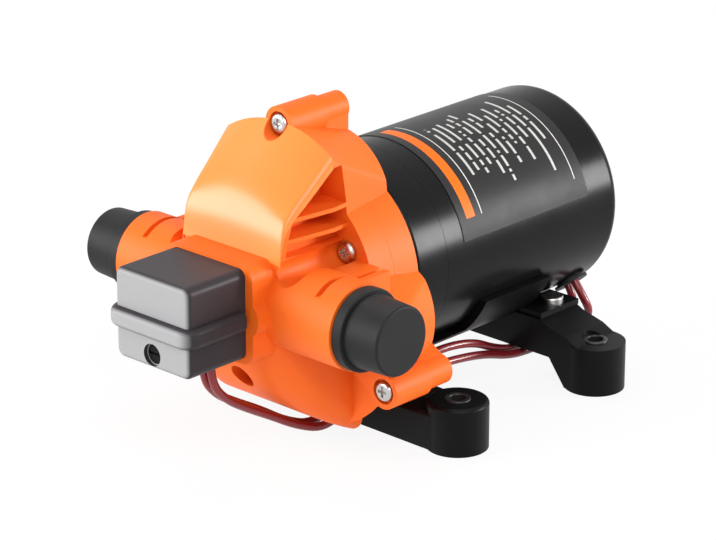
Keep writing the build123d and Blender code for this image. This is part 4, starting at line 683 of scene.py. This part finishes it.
def white_for_camera(tree, shadowed, shadow_share):
    """The shader shown to the camera and in reflections is white, apart from a share of the shadow."""
    path = tree.nodes.new("ShaderNodeLightPath")
    first = tree.nodes.new("ShaderNodeMath")
    first.operation = "MAXIMUM"
    second = tree.nodes.new("ShaderNodeMath")
    second.operation = "MAXIMUM"
    tree.links.new(path.outputs["Is Camera Ray"], first.inputs[0])
    tree.links.new(path.outputs["Is Glossy Ray"], first.inputs[1])
    tree.links.new(first.outputs["Value"], second.inputs[0])
    tree.links.new(path.outputs["Is Transmission Ray"], second.inputs[1])
    scale = tree.nodes.new("ShaderNodeMath")
    scale.operation = "MULTIPLY"
    scale.inputs[1].default_value = 1.0 - shadow_share
    tree.links.new(second.outputs["Value"], scale.inputs[0])
    white = tree.nodes.new("ShaderNodeEmission" if shadowed.type != "BACKGROUND" else "ShaderNodeBackground")
    white.inputs["Color"].default_value = (1, 1, 1, 1)
    white.inputs["Strength"].default_value = 1.0
    mix = tree.nodes.new("ShaderNodeMixShader")
    tree.links.new(scale.outputs["Value"], mix.inputs["Fac"])
    tree.links.new(shadowed.outputs[0], mix.inputs[1])
    tree.links.new(white.outputs[0], mix.inputs[2])
    return mix


class PUMP_OT_stage(bpy.types.Operator):
    """Lay the pale floor, hang the lamps and set the camera"""

    bl_idname = "pump.stage"
    bl_label = "Stage"

    def execute(self, context):
        clear_selection()
        scene = context.scene
        scene.view_settings.view_transform = "Standard"
        bpy.ops.mesh.primitive_plane_add(size=FLOOR_SIZE, location=(0, 0, 0))
        floor = context.object
        floor.name = "floor"
        material = bpy.data.materials.new("floor_paper")
        material.use_nodes = True
        tree = material.node_tree
        paper = tree.nodes["Principled BSDF"]
        paper.inputs["Base Color"].default_value = (PAPER_TONE, PAPER_TONE, PAPER_TONE, 1)
        paper.inputs["Roughness"].default_value = 0.9
        mix = white_for_camera(tree, paper, FLOOR_SHADOW)
        tree.links.new(mix.outputs[0], tree.nodes["Material Output"].inputs["Surface"])
        floor.data.materials.append(material)
        world = bpy.data.worlds.new("studio")
        world.use_nodes = True
        scene.world = world
        back = world.node_tree.nodes["Background"]
        back.inputs["Color"].default_value = (1, 1, 1, 1)
        back.inputs["Strength"].default_value = SKY_FILL
        mix = white_for_camera(world.node_tree, back, 0.0)
        world.node_tree.links.new(mix.outputs[0], world.node_tree.nodes["World Output"].inputs["Surface"])
        for name, place, width, power in LAMPS:
            bpy.ops.object.light_add(type="AREA", location=place)
            lamp = context.object
            lamp.name = name
            lamp.data.shape = "SQUARE"
            lamp.data.size = width
            lamp.data.energy = power
            aim = Vector(place) - Vector(LAMP_TARGET)
            lamp.rotation_euler = aim.to_track_quat("Z", "Y").to_euler()
        size = sizes()
        azimuth = math.radians(size.view_azimuth)
        elevation = math.radians(size.view_elevation)
        back_way = Vector((
            math.sin(azimuth) * math.cos(elevation),
            -math.cos(azimuth) * math.cos(elevation),
            math.sin(elevation),
        ))
        bpy.ops.object.camera_add(location=Vector(size.view_target) + size.view_distance * back_way)
        camera = context.object
        camera.name = "camera"
        camera.rotation_euler = back_way.to_track_quat("Z", "Y").to_euler()
        camera.data.lens = size.view_lens
        camera.data.sensor_width = SENSOR_WIDTH
        camera.data.clip_end = VIEW_REACH
        scene.camera = camera
        clear_selection()
        return {"FINISHED"}


class PUMP_PT_panel(bpy.types.Panel):
    """Panel that lists the steps"""

    bl_label = "Water pump"
    bl_idname = "PUMP_PT_panel"
    bl_space_type = "VIEW_3D"
    bl_region_type = "UI"
    bl_category = "Water pump"

    def draw(self, context):
        for step in STEPS:
            self.layout.operator(step)


STEPS = ("pump.stage", "pump.finishes", "pump.wires", "pump.mouldings", "pump.hood", "pump.spring")
CLASSES = (
    PumpSizes, PumpColours, PUMP_OT_stage, PUMP_OT_finishes, PUMP_OT_wires,
    PUMP_OT_mouldings, PUMP_OT_hood, PUMP_OT_spring, PUMP_PT_panel,
)


def register():
    for item in CLASSES:
        bpy.utils.register_class(item)
    bpy.types.Scene.pump_sizes = bpy.props.PointerProperty(type=PumpSizes)
    bpy.types.Scene.pump_colours = bpy.props.PointerProperty(type=PumpColours)


def unregister():
    del bpy.types.Scene.pump_colours
    del bpy.types.Scene.pump_sizes
    for item in reversed(CLASSES):
        bpy.utils.unregister_class(item)


def main():
    register()
    bpy.ops.pump.stage()
    bpy.ops.pump.finishes()
    bpy.ops.pump.wires()
    bpy.ops.pump.mouldings()
    bpy.ops.pump.hood()
    bpy.ops.pump.spring()


if __name__ == "__main__":
    main()
